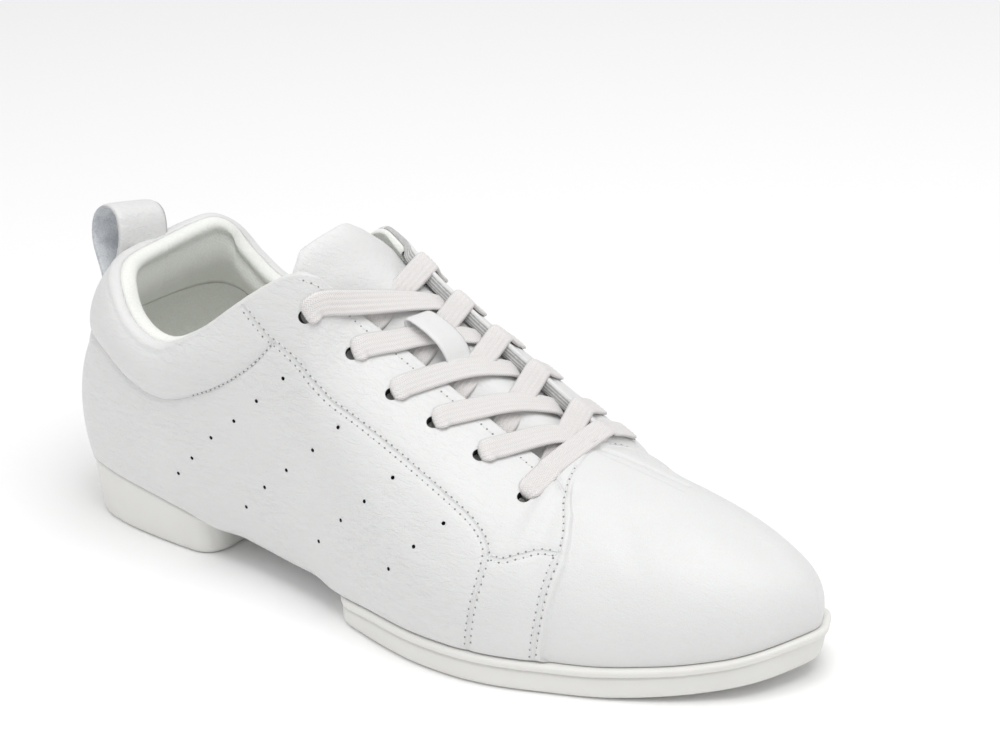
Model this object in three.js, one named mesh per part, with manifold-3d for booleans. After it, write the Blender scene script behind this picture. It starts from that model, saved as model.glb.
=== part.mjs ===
// Split-sole dance sneaker for the right foot. Lengths in mm, +X to the toe,
// +Y to the inner (medial) side, +Z up, the floor at z = 0.
import * as THREE from 'three';
import { mergeVertices } from 'three/addons/utils/BufferGeometryUtils.js';
import Module from 'manifold-3d';

// Driving sizes of the shoe.
const SHOE_LENGTH = 270;
const BALL_WIDTH = 94;
const INSTEP_HEIGHT = 104;
const HEEL_HEIGHT = 21;
const WALL = 2.4;
const VAMP_WALL = 2.0;
const COLLAR_BULGE = 2.0;
const SEAM_RAISE = 0.6;
const SEAM_SINK = 0.5;
const MARGIN_WIDTH = 14;
const FIT_GAP = 0.3;
const BREAST_X = 69;
const FOREFOOT_BACK_X = 126.5;
const PAD_CORNER = 9;
const WAIST_STRIP_WIDTH = 20;
const WAIST_CENTRE_Y = -1;
const INSOLE_THICKNESS = 2.5;
const LACE_WIDTH = 8;
const LACE_THICKNESS = 1.3;
const LACE_CLEAR = 1.05;
const EYELET_RADIUS = 2.1;
const KEEPER_WIDTH = 9.2;
const KEEPER_THICKNESS = 1;

// The tables below are drawn at these sizes and scaled to the driving ones.
const TABLE_LENGTH = 270;
const TABLE_BALL = 94;
const TABLE_INSTEP = 104;
const TABLE_HEEL = 21;
const KX = SHOE_LENGTH / TABLE_LENGTH;
const KY = BALL_WIDTH / TABLE_BALL;
const KZ = (INSTEP_HEIGHT - HEEL_HEIGHT) / (TABLE_INSTEP - TABLE_HEEL);
const KH = HEEL_HEIGHT / TABLE_HEEL;

// Ground outline. Columns: x, y, from the back of the heel to the tip of the toe.
const OUTLINE_LATERAL = [
  [0, 1], [0.8, -6.8], [4.3, -17.1], [9.5, -25.5], [16.7, -31.2], [27, -34.2], [37.8, -35.5],
  [51.3, -36.1], [62.1, -36.1], [81, -36.4], [102.6, -39.1], [124.2, -42.8], [137.7, -46.5],
  [151.2, -49.8], [164.7, -52], [178.2, -52.2], [189, -50.9], [199.8, -47.9], [210.6, -43.7],
  [224.1, -38.2], [236.3, -31.6], [247.6, -24.1], [257.9, -15.3], [264.6, -5.9], [269.5, 8],
];
const OUTLINE_MEDIAL = [
  [0, 1], [0.8, 9.5], [3.2, 20], [9.7, 29.3], [15.7, 31.8], [24.3, 33], [35.6, 34.1],
  [50.2, 35.1], [62.1, 35.3], [81, 35.8], [102.6, 37.5], [124.2, 40.1], [148.5, 41.7],
  [167.4, 41.2], [189, 39.6], [213.3, 37.2], [234.9, 33.7], [251.1, 29.4], [263.3, 21.9],
  [268.1, 14.5], [269.5, 8],
];
// Height of the line where the upper meets its soles. Columns: x, z.
const FEATHER = [
  [-4, 21.1], [0, 21], [20, 19.8], [35, 18.3], [56, 15], [72, 11.5], [89, 9], [108, 8.3],
  [128, 8.6], [150, 10], [190, 10], [215, 10], [240, 11.5], [255, 13.5], [273, 17],
];
// Ribs of the upper from the feather line to the top line. Columns: share of the outline,
// inset of the foot, top x, y, z, lower handle up, out, upper handle x, y, z,
// thickness at the top, share of the rib where the padding starts.
const RIBS_LATERAL = [
  [0.00, -2.5, 16.0, 1.0, 87.0, 26, 6.0, -9, 0, -22, 7.0, 0.60],
  [0.05, -2.2, 18.5, -14.0, 87.5, 26, 6.0, -8, -5, -22, 7.0, 0.59],
  [0.10, -1.6, 24.5, -25.0, 87.5, 26, 5.0, -5, -7, -20, 7.0, 0.58],
  [0.15, -1.0, 32.5, -33.0, 84.0, 26, 4.0, -2, -5, -18, 7.0, 0.57],
  [0.20, -0.5, 42.5, -37.5, 76.0, 22, 3.5, 0, -3, -16, 7.0, 0.59],
  [0.25, 0.0, 56.0, -38.5, 72.5, 22, 3.0, 0, -3, -16, 7.0, 0.63],
  [0.30, 0.5, 72.0, -37.5, 80.5, 24, 3.0, 0, -5, -16, 6.5, 0.65],
  [0.35, 1.2, 88.0, -34.5, 93.0, 28, 3.0, 0, -6, -20, 5.5, 0.68],
  [0.40, 1.2, 102.0, -29.5, 102.5, 32, 3.0, 0, -8, -22, 4.5, 0.80],
  [0.43, 1.2, 110.0, -25.5, 104.0, 36, 3.0, 1, -10, -21, 3.6, 0.85],
  [0.45, 1.2, 113.5, -20.5, 99.0, 38, 3.0, 2, -16, -15, 3.0, 0.85],
  [0.475, 1.2, 119.0, -15.0, 90.0, 40, 3.0, 2, -21, -13, 2.8, 0.85],
  [0.51, 1.3, 130.0, -12.0, 82.5, 42, 3.0, 3, -24, -12, 2.6, 0.85],
  [0.56, 1.4, 146.0, -11.0, 74.0, 38, 3.0, 3, -24, -11, 2.6, 0.85],
  [0.61, 1.5, 162.0, -10.5, 66.0, 33, 3.0, 3, -24, -9, 2.6, 0.85],
  [0.65, 1.5, 176.0, -10.0, 59.0, 29, 3.0, 3, -24, -8, 2.6, 0.85],
  [0.68, 1.5, 188.0, -9.0, 54.5, 27, 3.0, 3, -24, -7, 2.5, 0.85],
  [0.70, 1.5, 191.5, -3.0, 56.0, 26, 3.0, 3, -24, -3, 2.4, 0.85],
  [0.72, 1.5, 192.5, 4.0, 56.8, 26, 3.0, 4, -23, -1, 2.4, 0.85],
  [0.74, 1.5, 196.5, 4.3, 56.4, 26, 3.0, 7, -22, -1.4, 2.4, 0.85],
  [0.80, 1.2, 207.0, 5.5, 54.2, 23, 3.0, 9, -20, -2.0, 2.0, 0.85],
  [0.85, 0.8, 217.0, 7.0, 51.8, 22, 3.0, 11, -18, -2.8, 2.0, 0.85],
  [0.90, 0.3, 227.0, 8.0, 49.2, 20, 3.0, 15, -14, -4.6, 2.0, 0.85],
  [0.95, -0.4, 235.0, 8.7, 46.6, 18, 2.5, 18, -8, -6.4, 2.0, 0.85],
  [1.00, -1.0, 241.0, 9.0, 44.4, 16, 2.0, 20, 0, -7.6, 2.0, 0.85],
];
const RIBS_MEDIAL = [
  [0.00, -2.5, 16.0, 1.0, 87.0, 26, 6.0, -9, 0, -22, 7.0, 0.60],
  [0.05, -2.2, 18.0, 15.0, 88.5, 26, 6.0, -8, 4, -22, 7.0, 0.59],
  [0.10, -1.6, 21.0, 25.0, 88.5, 26, 5.0, -5, 7, -20, 7.0, 0.58],
  [0.14, -1.0, 25.0, 32.5, 83.0, 26, 4.0, -2, 5, -18, 7.0, 0.57],
  [0.18, -0.5, 31.0, 36.0, 74.0, 22, 3.0, 0, 3, -16, 7.0, 0.58],
  [0.22, 0.0, 41.0, 37.5, 66.5, 20, 3.0, 0, 3, -14, 7.0, 0.60],
  [0.26, 0.5, 54.0, 37.5, 64.5, 20, 2.0, 0, 3, -14, 7.0, 0.62],
  [0.30, 1.2, 66.0, 36.5, 69.0, 22, 2.0, 0, 4, -15, 6.5, 0.65],
  [0.34, 1.2, 78.0, 33.5, 79.0, 26, 2.0, 0, 5, -17, 6.0, 0.68],
  [0.38, 1.2, 88.0, 29.0, 91.0, 30, 2.0, 0, 6, -20, 5.5, 0.74],
  [0.41, 1.2, 96.0, 24.0, 99.5, 34, 2.0, 0, 8, -20, 4.5, 0.80],
  [0.435, 1.2, 103.0, 20.5, 102.5, 38, 2.0, 1, 10, -19, 3.6, 0.85],
  [0.455, 1.2, 109.0, 17.5, 101.0, 41, 2.0, 2, 12, -14, 3.0, 0.85],
  [0.48, 1.2, 117.0, 15.5, 96.5, 43, 2.0, 2, 14, -10, 2.8, 0.85],
  [0.51, 1.3, 127.0, 14.0, 91.0, 44, 2.0, 3, 15, -9, 2.6, 0.85],
  [0.56, 1.4, 142.0, 13.5, 82.5, 40, 2.0, 3, 16, -8, 2.6, 0.85],
  [0.61, 1.5, 157.0, 13.0, 74.5, 36, 2.0, 3, 17, -7, 2.6, 0.85],
  [0.66, 1.5, 173.0, 13.0, 66.0, 31, 2.0, 3, 17, -6, 2.6, 0.85],
  [0.70, 1.5, 187.5, 12.0, 58.5, 28, 2.0, 3, 18, -4, 2.5, 0.85],
  [0.715, 1.5, 191.5, 8.5, 57.4, 27, 2.0, 3, 18, -2, 2.4, 0.85],
  [0.73, 1.5, 192.5, 4.0, 56.8, 26, 2.0, 4, 18, -1, 2.4, 0.85],
  [0.75, 1.5, 196.5, 4.3, 56.4, 26, 2.0, 7, 17, -1.4, 2.4, 0.85],
  [0.80, 1.2, 207.0, 5.5, 54.2, 24, 2.0, 9, 16, -2.0, 2.0, 0.85],
  [0.85, 0.8, 217.0, 7.0, 51.8, 22, 2.0, 11, 14, -2.8, 2.0, 0.85],
  [0.90, 0.3, 227.0, 8.0, 49.2, 20, 2.0, 15, 11, -4.6, 2.0, 0.85],
  [0.95, -0.4, 235.0, 8.7, 46.6, 18, 2.0, 18, 6, -6.4, 2.0, 0.85],
  [1.00, -1.0, 241.0, 9.0, 44.4, 16, 2.0, 20, 0, -7.6, 2.0, 0.85],
];
// Rows of the two tables where the throat ends, where the vamp seam runs, and the last one.
const THROAT_ROW_LATERAL = 18;
const THROAT_ROW_MEDIAL = 20;
const VAMP_ROWS = 6;
// Eyelets. Columns: lateral rib, its height share, medial rib, its height share.
const EYELETS = [
  [9.06, 0.839, 13.05, 0.79], [11.31, 0.844, 14.4, 0.78], [12.46, 0.811, 15.34, 0.765],
  [13.36, 0.827, 16.24, 0.75], [14.44, 0.839, 17.23, 0.73], [15.81, 0.798, 18.2, 0.71],
];
// Levels up a rib for the outer and the inner face of the wall.
const OUTER_LEVELS = [0, 0.1, 0.22, 0.36, 0.5, 0.62, 0.73, 0.83, 0.92, 1];
const INNER_LEVELS = [1, 0.9, 0.78, 0.62, 0.46, 0.3, 0.14];

// Small helpers for numbers.
const lerp = (a, b, t) => a + (b - a) * t;
const clamp = (v, a, b) => Math.min(b, Math.max(a, v));
const smooth = (v) => {
  const t = clamp(v, 0, 1);
  return t * t * (3 - 2 * t);
};
const V = (x, y, z) => new THREE.Vector3(x, y, z);

// Value of a two-column table at x, eased between its rows.
function tableAt(table, x) {
  let i = 0;
  while (i < table.length - 2 && x > table[i + 1][0]) i += 1;
  const n = table.length;
  const p0 = table[Math.max(0, i - 1)];
  const p1 = table[i];
  const p2 = table[i + 1];
  const p3 = table[Math.min(n - 1, i + 2)];
  const h = p2[0] - p1[0];
  const t = clamp((x - p1[0]) / h, 0, 1);
  const slope = (p2[1] - p1[1]) / h;
  const side = (a, b) => {
    const s = (b[1] - a[1]) / (b[0] - a[0] || 1);
    return s * slope <= 0 ? 0 : 2 * s * slope / (s + slope);
  };
  const m1 = side(p0, p1);
  const m2 = side(p2, p3);
  const t2 = t * t;
  const t3 = t2 * t;
  return (2 * t3 - 3 * t2 + 1) * p1[1] + (t3 - 2 * t2 + t) * h * m1
    + (3 * t2 - 2 * t3) * p2[1] + (t3 - t2) * h * m2;
}

// Row of a table of columns at a fractional row number.
function rowAt(table, t) {
  const n = table.length - 1;
  const i = Math.min(n - 1, Math.max(0, Math.floor(t)));
  const u = t - i;
  const p = [i - 1, i, i + 1, i + 2].map((k) => table[clamp(k, 0, n)]);
  return p[1].map((v, c) => {
    const a = p[0][c];
    const b = p[1][c];
    const d = p[2][c];
    const e = p[3][c];
    return 0.5 * (2 * b + (d - a) * u + (2 * a - 5 * b + 4 * d - e) * u * u
      + (3 * b - a - 3 * d + e) * u * u * u);
  });
}

function featherZ(x) {
  return tableAt(FEATHER, x / KX) * KH;
}

// Fine line through an outline table, bent over its two ends into the other side.
function fineLine(table, before, after) {
  const pts = [before, ...table, after];
  const out = [];
  for (let i = 1; i < pts.length - 2; i += 1) {
    for (let k = 0; k < 16; k += 1) {
      out.push(rowAt([pts[i - 1], pts[i], pts[i + 1], pts[i + 2]], 1 + k / 16));
    }
  }
  out.push(table[table.length - 1]);
  const line = out.map(([x, y]) => [x * KX, y * KY]);
  const run = [0];
  for (let i = 1; i < line.length; i += 1) {
    run.push(run[i - 1] + Math.hypot(line[i][0] - line[i - 1][0], line[i][1] - line[i - 1][1]));
  }
  return { line, share: run.map((r) => r / run[run.length - 1]) };
}
const EDGE = {
  lateral: fineLine(OUTLINE_LATERAL, OUTLINE_MEDIAL[1], OUTLINE_MEDIAL[OUTLINE_MEDIAL.length - 2]),
  medial: fineLine(OUTLINE_MEDIAL, OUTLINE_LATERAL[1], OUTLINE_LATERAL[OUTLINE_LATERAL.length - 2]),
};
const otherSide = (side) => (side === 'lateral' ? 'medial' : 'lateral');

function alongEdge(side, share) {
  if (share < 0) return alongEdge(otherSide(side), -share);
  if (share > 1) return alongEdge(otherSide(side), 2 - share);
  const e = EDGE[side];
  let i = 0;
  while (i < e.share.length - 2 && e.share[i + 1] < share) i += 1;
  const t = (share - e.share[i]) / (e.share[i + 1] - e.share[i]);
  return [lerp(e.line[i][0], e.line[i + 1][0], t), lerp(e.line[i][1], e.line[i + 1][1], t)];
}

// Point of the ground outline and its outward direction.
function edgeAt(side, share) {
  const p = alongEdge(side, share);
  const a = alongEdge(side, share - 0.012);
  const b = alongEdge(side, share + 0.012);
  const len = Math.hypot(b[0] - a[0], b[1] - a[1]);
  const turn = side === 'lateral' ? 1 : -1;
  return { p, n: [turn * (b[1] - a[1]) / len, -turn * (b[0] - a[0]) / len] };
}

function shareAtX(side, x) {
  let lo = 0;
  let hi = 1;
  for (let k = 0; k < 40; k += 1) {
    const mid = (lo + hi) / 2;
    if (alongEdge(side, mid)[0] < x) lo = mid;
    else hi = mid;
  }
  return (lo + hi) / 2;
}

// The upper turns under with a small radius at its soles and a soft one at the waist.
function tuckAt(x) {
  const into = smooth((x - 70) / 14) * (1 - smooth((x - 114) / 14));
  return lerp(0.8, 5, into);
}

// The last is a row of ribs, each a cubic curve.
function ribFrame(side, t) {
  const table = side === 'lateral' ? RIBS_LATERAL : RIBS_MEDIAL;
  const r = rowAt(table, t);
  const { p, n } = edgeAt(side, r[0]);
  const foot = [p[0] - n[0] * r[1], p[1] - n[1] * r[1]];
  const tuck = tuckAt(foot[0]);
  const rise = (z) => HEEL_HEIGHT + (z - TABLE_HEEL) * KZ;
  const f = V(foot[0], foot[1], featherZ(foot[0]) + tuck);
  const top = V(r[2] * KX, r[3] * KY, rise(r[4]));
  const low = V(f.x + n[0] * r[6], f.y + n[1] * r[6], f.z + r[5] * KZ - tuck);
  const high = V(top.x + r[7] * KX, top.y + r[8] * KY, top.z + r[9] * KZ);
  return { f, low, high, top, n, tuck, pad: r[10], from: r[11] };
}

function onRib(rib, v) {
  const w = 1 - v;
  return V(0, 0, 0)
    .addScaledVector(rib.f, w * w * w)
    .addScaledVector(rib.low, 3 * w * w * v)
    .addScaledVector(rib.high, 3 * w * v * v)
    .addScaledVector(rib.top, v * v * v);
}

function upperPoint(side, t, v) {
  return onRib(ribFrame(side, t), v);
}

function upperNormal(side, t, v) {
  const last = side === 'lateral' ? RIBS_LATERAL.length - 1 : RIBS_MEDIAL.length - 1;
  const step = 0.05;
  const across = (q) => {
    if (q < 0) return upperPoint(otherSide(side), -q, v);
    if (q > last) return upperPoint(otherSide(side), endRow(otherSide(side)) - (q - last), v);
    return upperPoint(side, q, v);
  };
  const along = across(t + step).sub(across(t - step));
  const rib = ribFrame(side, t);
  const up = onRib(rib, Math.min(1, v + 0.01)).sub(onRib(rib, Math.max(0, v - 0.01)));
  const n = along.cross(up).normalize();
  return side === 'lateral' ? n : n.negate();
}

function endRow(side) {
  return side === 'lateral' ? RIBS_LATERAL.length - 1 : RIBS_MEDIAL.length - 1;
}

function throatRow(side) {
  return side === 'lateral' ? THROAT_ROW_LATERAL : THROAT_ROW_MEDIAL;
}

// How far the outer face stands off the last: the quarter lies over the vamp at its seam.
function seamOffset(side, t) {
  return t - throatRow(side) < 1 ? SEAM_RAISE : -SEAM_SINK;
}

// Outer face of the wall with its padded collar roll.
function outerPoint(side, t, v) {
  const rib = ribFrame(side, t);
  const n = upperNormal(side, t, v);
  const into = (v - rib.from) / (1 - rib.from);
  const roll = into > 0 ? Math.sin(Math.PI * Math.min(1, into)) * COLLAR_BULGE : 0;
  const share = clamp((rib.pad - 3) / 4, 0, 1);
  return onRib(rib, v).addScaledVector(n, seamOffset(side, t) + roll * share);
}

function wallThickness(side, t, v) {
  const rib = ribFrame(side, t);
  const plain = t - throatRow(side) < 1 ? WALL + SEAM_RAISE : VAMP_WALL - 0.1;
  return lerp(plain, Math.max(plain, rib.pad), smooth((v - rib.from) / (1 - rib.from)));
}

function innerPoint(side, t, v) {
  const n = upperNormal(side, t, v);
  return upperPoint(side, t, v)
    .addScaledVector(n, seamOffset(side, t) - wallThickness(side, t, v));
}

// Closed meshes from grids of points.
const wasm = await Module();
wasm.setup();

function geometryFrom(points, triangles) {
  const g = new THREE.BufferGeometry();
  g.setAttribute('position', new THREE.Float32BufferAttribute(points.flatMap((p) => [p.x, p.y, p.z]), 3));
  g.setIndex(triangles.flat());
  const merged = mergeVertices(g, 1e-3);
  const index = Array.from(merged.index.array);
  const kept = [];
  for (let i = 0; i < index.length; i += 3) {
    const [a, b, c] = index.slice(i, i + 3);
    if (a !== b && b !== c && c !== a) kept.push(a, b, c);
  }
  merged.setIndex(kept);
  return merged;
}

function solidFrom(points, triangles) {
  const g = geometryFrom(points, triangles);
  const pos = g.attributes.position.array;
  const idx = g.index.array;
  let volume = 0;
  const a = V();
  const b = V();
  const c = V();
  for (let i = 0; i < idx.length; i += 3) {
    a.fromArray(pos, idx[i] * 3);
    b.fromArray(pos, idx[i + 1] * 3);
    c.fromArray(pos, idx[i + 2] * 3);
    volume += a.dot(b.cross(c));
  }
  const tris = Uint32Array.from(idx);
  if (volume < 0) {
    for (let i = 0; i < tris.length; i += 3) [tris[i], tris[i + 1]] = [tris[i + 1], tris[i]];
  }
  const mesh = new wasm.Mesh({ numProp: 3, vertProperties: Float32Array.from(pos), triVerts: tris });
  return new wasm.Manifold(mesh);
}

function toGeometry(solid) {
  const mesh = solid.getMesh();
  const g = new THREE.BufferGeometry();
  g.setAttribute('position', new THREE.Float32BufferAttribute(Array.from(mesh.vertProperties), 3));
  g.setIndex(Array.from(mesh.triVerts));
  g.computeVertexNormals();
  return g;
}

// Surface through a grid of points, closed across its rows.
function gridTriangles(cols, rows, at, skip = () => false) {
  const out = [];
  for (let i = 0; i < cols - 1; i += 1) {
    for (let j = 0; j < rows; j += 1) {
      if (skip(i, j)) continue;
      const k = (j + 1) % rows;
      out.push([at(i, j), at(i + 1, j), at(i + 1, k)], [at(i, j), at(i + 1, k), at(i, k)]);
    }
  }
  return out;
}

// The leather upper.
// Rib numbers of one side: half rows behind, and a close pair at the vamp seam.
function ribSteps(side) {
  const throat = throatRow(side);
  const out = [];
  for (let t = 0; t <= throat + 0.5; t += 0.5) out.push(t);
  out.push(throat + 0.97, throat + 1.03);
  for (let q = 1.5; q <= VAMP_ROWS; q += 0.5) out.push(throat + q);
  return out;
}

// Half width of the turned-under margin. It reaches to the waist strip between the two soles.
function marginWidth(foot, n) {
  const strip = WAIST_STRIP_WIDTH / 2 + FIT_GAP;
  const reach = (Math.abs(foot.y - WAIST_CENTRE_Y) - strip) / Math.max(0.5, Math.abs(n[1]));
  const waist = foot.x > BREAST_X - 1.5 && foot.x < FOREFOOT_BACK_X + 1.5;
  return waist ? reach : MARGIN_WIDTH;
}

function sectionPoints(side, t) {
  const rib = ribFrame(side, t);
  const pts = [];
  const under = (d, lift) => {
    const x = rib.f.x - rib.n[0] * d;
    const y = rib.f.y - rib.n[1] * d;
    return V(x, y, featherZ(x) + lift);
  };
  const width = marginWidth(rib.f, rib.n);
  pts.push(under(width, 0), under((width + rib.tuck) / 2, 0), under(rib.tuck, 0));
  pts.push(under(rib.tuck * 0.3, rib.tuck * 0.3));
  OUTER_LEVELS.forEach((v) => pts.push(outerPoint(side, t, v)));
  const topOut = pts[pts.length - 1];
  const topIn = innerPoint(side, t, 1);
  const crown = topOut.clone().lerp(topIn, 0.5);
  crown.z += Math.max(0, rib.pad - 3) * 0.32;
  pts.push(crown);
  INNER_LEVELS.forEach((v) => pts.push(innerPoint(side, t, v)));
  const floor = rib.tuck > 2 ? 3.4 : WALL + 0.6;
  pts.push(under(floor, WALL), under((width + floor) / 2, WALL), under(width, WALL));
  return pts;
}

function buildUpper() {
  const sides = {};
  ['lateral', 'medial'].forEach((side) => {
    sides[side] = ribSteps(side).map((t) => sectionPoints(side, t));
  });
  const rows = sides.lateral[0].length;
  const topOut = 4 + OUTER_LEVELS.length - 1;
  // Both sides share the heel rib, the toe rib and the crest of the vamp.
  const count = { lateral: sides.lateral.length, medial: sides.medial.length };
  const vampCols = ribSteps('lateral').filter((t) => t >= THROAT_ROW_LATERAL).length;
  for (let c = 0; c < vampCols; c += 1) {
    const a = sides.lateral[count.lateral - vampCols + c];
    const b = sides.medial[count.medial - vampCols + c];
    [topOut, topOut + 1, topOut + 2].forEach((k) => {
      const mid = a[k].clone().lerp(b[k], 0.5);
      a[k] = mid;
      b[k] = mid.clone();
    });
  }
  const share = (c, d) => {
    for (let k = 0; k < rows; k += 1) {
      const mid = c[k].clone().lerp(d[k], 0.5);
      c[k] = mid;
      d[k] = mid.clone();
    }
  };
  share(sides.lateral[0], sides.medial[0]);
  share(sides.lateral[count.lateral - 1], sides.medial[count.medial - 1]);
  const points = [];
  const triangles = [];
  ['lateral', 'medial'].forEach((side) => {
    const base = points.length;
    const cols = sides[side];
    cols.forEach((c) => points.push(...c));
    const firstVamp = cols.length - vampCols;
    const tris = gridTriangles(cols.length, rows, (i, j) => base + i * rows + j,
      (i, j) => i >= firstVamp && (j === topOut || j === topOut + 1));
    triangles.push(...(side === 'lateral' ? tris : tris.map(([a, b, c]) => [a, c, b])));
  });
  let solid = solidFrom(points, triangles);
  EYELETS.forEach((row) => {
    [['lateral', row[0], row[1]], ['medial', row[2], row[3]]].forEach(([side, t, v]) => {
      solid = solid.subtract(holeAt(side, t, v));
    });
  });
  return solid;
}

function holeAt(side, t, v) {
  const p = upperPoint(side, t, v);
  const n = upperNormal(side, t, v);
  const turn = new THREE.Quaternion().setFromUnitVectors(V(0, 0, 1), n);
  const m = new THREE.Matrix4().compose(p, turn, V(1, 1, 1));
  return wasm.Manifold.cylinder(14, EYELET_RADIUS, EYELET_RADIUS, 12, true).transform(m.elements);
}

// Soles and insole are closed outlines stacked in layers.
// Closed ring of one pad, paired across, from its round tip to its straight edge.
function padRing(tipShare, breastX, steps, corner) {
  const shares = {
    lateral: shareAtX('lateral', breastX),
    medial: shareAtX('medial', breastX),
  };
  const sideLine = (side) => {
    const out = [];
    for (let k = 0; k <= steps; k += 1) {
      const u = 1 - (1 - k / steps) ** 1.25;
      const share = lerp(tipShare, shares[side], u);
      const { p } = edgeAt(side, share);
      const left = Math.abs(p[0] - breastX);
      const cut = left < corner ? corner - Math.sqrt(corner * corner - (corner - left) ** 2) : 0;
      out.push({ x: p[0], y: p[1] - Math.sign(p[1]) * cut, share, side });
    }
    return out;
  };
  const lateral = sideLine('lateral');
  const medial = sideLine('medial');
  return [...lateral, ...medial.slice(1).reverse()];
}

function ringNormals(ring) {
  const n = ring.length;
  let area = 0;
  ring.forEach((p, i) => {
    const q = ring[(i + 1) % n];
    area += p.x * q.y - q.x * p.y;
  });
  const turn = area > 0 ? 1 : -1;
  return ring.map((p, i) => {
    const a = ring[(i + n - 1) % n];
    const b = ring[(i + 1) % n];
    const ux = p.x - a.x;
    const uy = p.y - a.y;
    const wx = b.x - p.x;
    const wy = b.y - p.y;
    const lu = Math.hypot(ux, uy);
    const lw = Math.hypot(wx, wy);
    const tx = ux / lu + wx / lw;
    const ty = uy / lu + wy / lw;
    const len = Math.hypot(tx, ty);
    return [turn * ty / len, -turn * tx / len];
  });
}

function layered(ring, layers) {
  const normals = ringNormals(ring);
  const n = ring.length;
  const points = [];
  layers.forEach((layer) => {
    ring.forEach((p, i) => {
      const d = typeof layer.inset === 'function' ? layer.inset(p) : layer.inset;
      const x = p.x - normals[i][0] * d;
      const y = p.y - normals[i][1] * d;
      points.push(V(x, y, layer.z(x)));
    });
  });
  const tris = [];
  for (let l = 0; l < layers.length - 1; l += 1) {
    for (let i = 0; i < n; i += 1) {
      const k = (i + 1) % n;
      const a = l * n;
      const b = (l + 1) * n;
      tris.push([a + i, a + k, b + k], [a + i, b + k, b + i]);
    }
  }
  const cap = (base, flip) => {
    for (let i = 0; i < (n - 1) / 2; i += 1) {
      const a = base + i;
      const b = base + i + 1;
      const c = base + ((n - i) % n);
      const d = base + (n - i - 1);
      [[a, c, b], [b, c, d]].forEach((t) => {
        if (new Set(t).size === 3) tris.push(flip ? [t[0], t[2], t[1]] : t);
      });
    }
  };
  cap(0, false);
  cap((layers.length - 1) * n, true);
  return solidFrom(points, tris);
}

// Inset of the upper's feather line from the ground outline, at a share of the outline.
function featherInset(side, share) {
  const table = side === 'lateral' ? RIBS_LATERAL : RIBS_MEDIAL;
  let i = 0;
  while (i < table.length - 2 && table[i + 1][0] < share) i += 1;
  const t = clamp((share - table[i][0]) / (table[i + 1][0] - table[i][0]), 0, 1);
  return lerp(table[i][1], table[i + 1][1], t);
}

function springZ(x) {
  const from = 213 * KX;
  return x > from ? 6 * ((x - from) / (57 * KX)) ** 2 : 0;
}

function buildHeelBlock() {
  const ring = padRing(0, BREAST_X, 20, PAD_CORNER);
  const top = (x) => featherZ(x) - FIT_GAP;
  const edge = (p) => featherInset(p.side, p.share);
  return layered(ring, [
    { inset: 2.4, z: () => 0 },
    { inset: 0.9, z: () => 0.6 },
    { inset: 0.2, z: () => 2.2 },
    { inset: (p) => edge(p) * 0.5, z: (x) => top(x) * 0.55 },
    { inset: (p) => edge(p) * 0.9, z: (x) => top(x) - 1.5 },
    { inset: (p) => edge(p), z: top },
  ]);
}

function buildForefootSole() {
  const ring = padRing(1, FOREFOOT_BACK_X, 26, PAD_CORNER);
  const top = (x) => featherZ(x) - FIT_GAP;
  const flare = (p) => Math.min(0, featherInset(p.side, p.share) - 1.2);
  return layered(ring, [
    { inset: 2.4, z: springZ },
    { inset: 0.8, z: (x) => springZ(x) + 0.7 },
    { inset: 0, z: (x) => springZ(x) + 2.4 },
    { inset: (p) => flare(p) * 0.6 + 0.1, z: (x) => top(x) - 3.1 },
    { inset: (p) => flare(p) + 0.7, z: (x) => top(x) - 2.6 },
    { inset: (p) => flare(p) - 0.3, z: (x) => top(x) - 2.0 },
    { inset: (p) => flare(p) - 0.4, z: (x) => top(x) - 0.7 },
    { inset: (p) => flare(p) + 0.3, z: top },
  ]);
}

function buildInsole() {
  const steps = 34;
  const line = (side) => {
    const out = [];
    for (let k = 0; k <= steps; k += 1) {
      const share = k / steps;
      const { p } = edgeAt(side, share);
      out.push({ x: p[0], y: p[1], share, side });
    }
    return out;
  };
  const ring = [...line('lateral'), ...line('medial').slice(1, -1).reverse()];
  const pairs = ring.length;
  const inset = (p) => featherInset(p.side, p.share) + WALL + 1.4;
  const low = WALL + FIT_GAP;
  return evenLayered(ring, pairs, [
    { inset, z: (x) => featherZ(x) + low },
    { inset, z: (x) => featherZ(x) + low + INSOLE_THICKNESS - 0.5 },
    { inset: (p) => inset(p) + 0.6, z: (x) => featherZ(x) + low + INSOLE_THICKNESS },
  ]);
}

// Ring with a tip at both ends: the caps pair the two sides.
function evenLayered(ring, n, layers) {
  const normals = ringNormals(ring);
  const points = [];
  layers.forEach((layer) => {
    ring.forEach((p, i) => {
      const d = layer.inset(p);
      const x = p.x - normals[i][0] * d;
      points.push(V(x, p.y - normals[i][1] * d, layer.z(x)));
    });
  });
  const tris = [];
  for (let l = 0; l < layers.length - 1; l += 1) {
    for (let i = 0; i < n; i += 1) {
      const k = (i + 1) % n;
      tris.push([l * n + i, l * n + k, (l + 1) * n + k], [l * n + i, (l + 1) * n + k, (l + 1) * n + i]);
    }
  }
  const cap = (base, flip) => {
    for (let i = 0; i < n / 2; i += 1) {
      const quad = [i, i + 1, (n - i) % n, (n - i - 1) % n].map((q) => base + q);
      [[quad[0], quad[2], quad[1]], [quad[1], quad[2], quad[3]]].forEach((t) => {
        if (new Set(t).size === 3) tris.push(flip ? [t[0], t[2], t[1]] : t);
      });
    }
  };
  cap(0, false);
  cap((layers.length - 1) * n, true);
  return solidFrom(points, tris);
}

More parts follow.
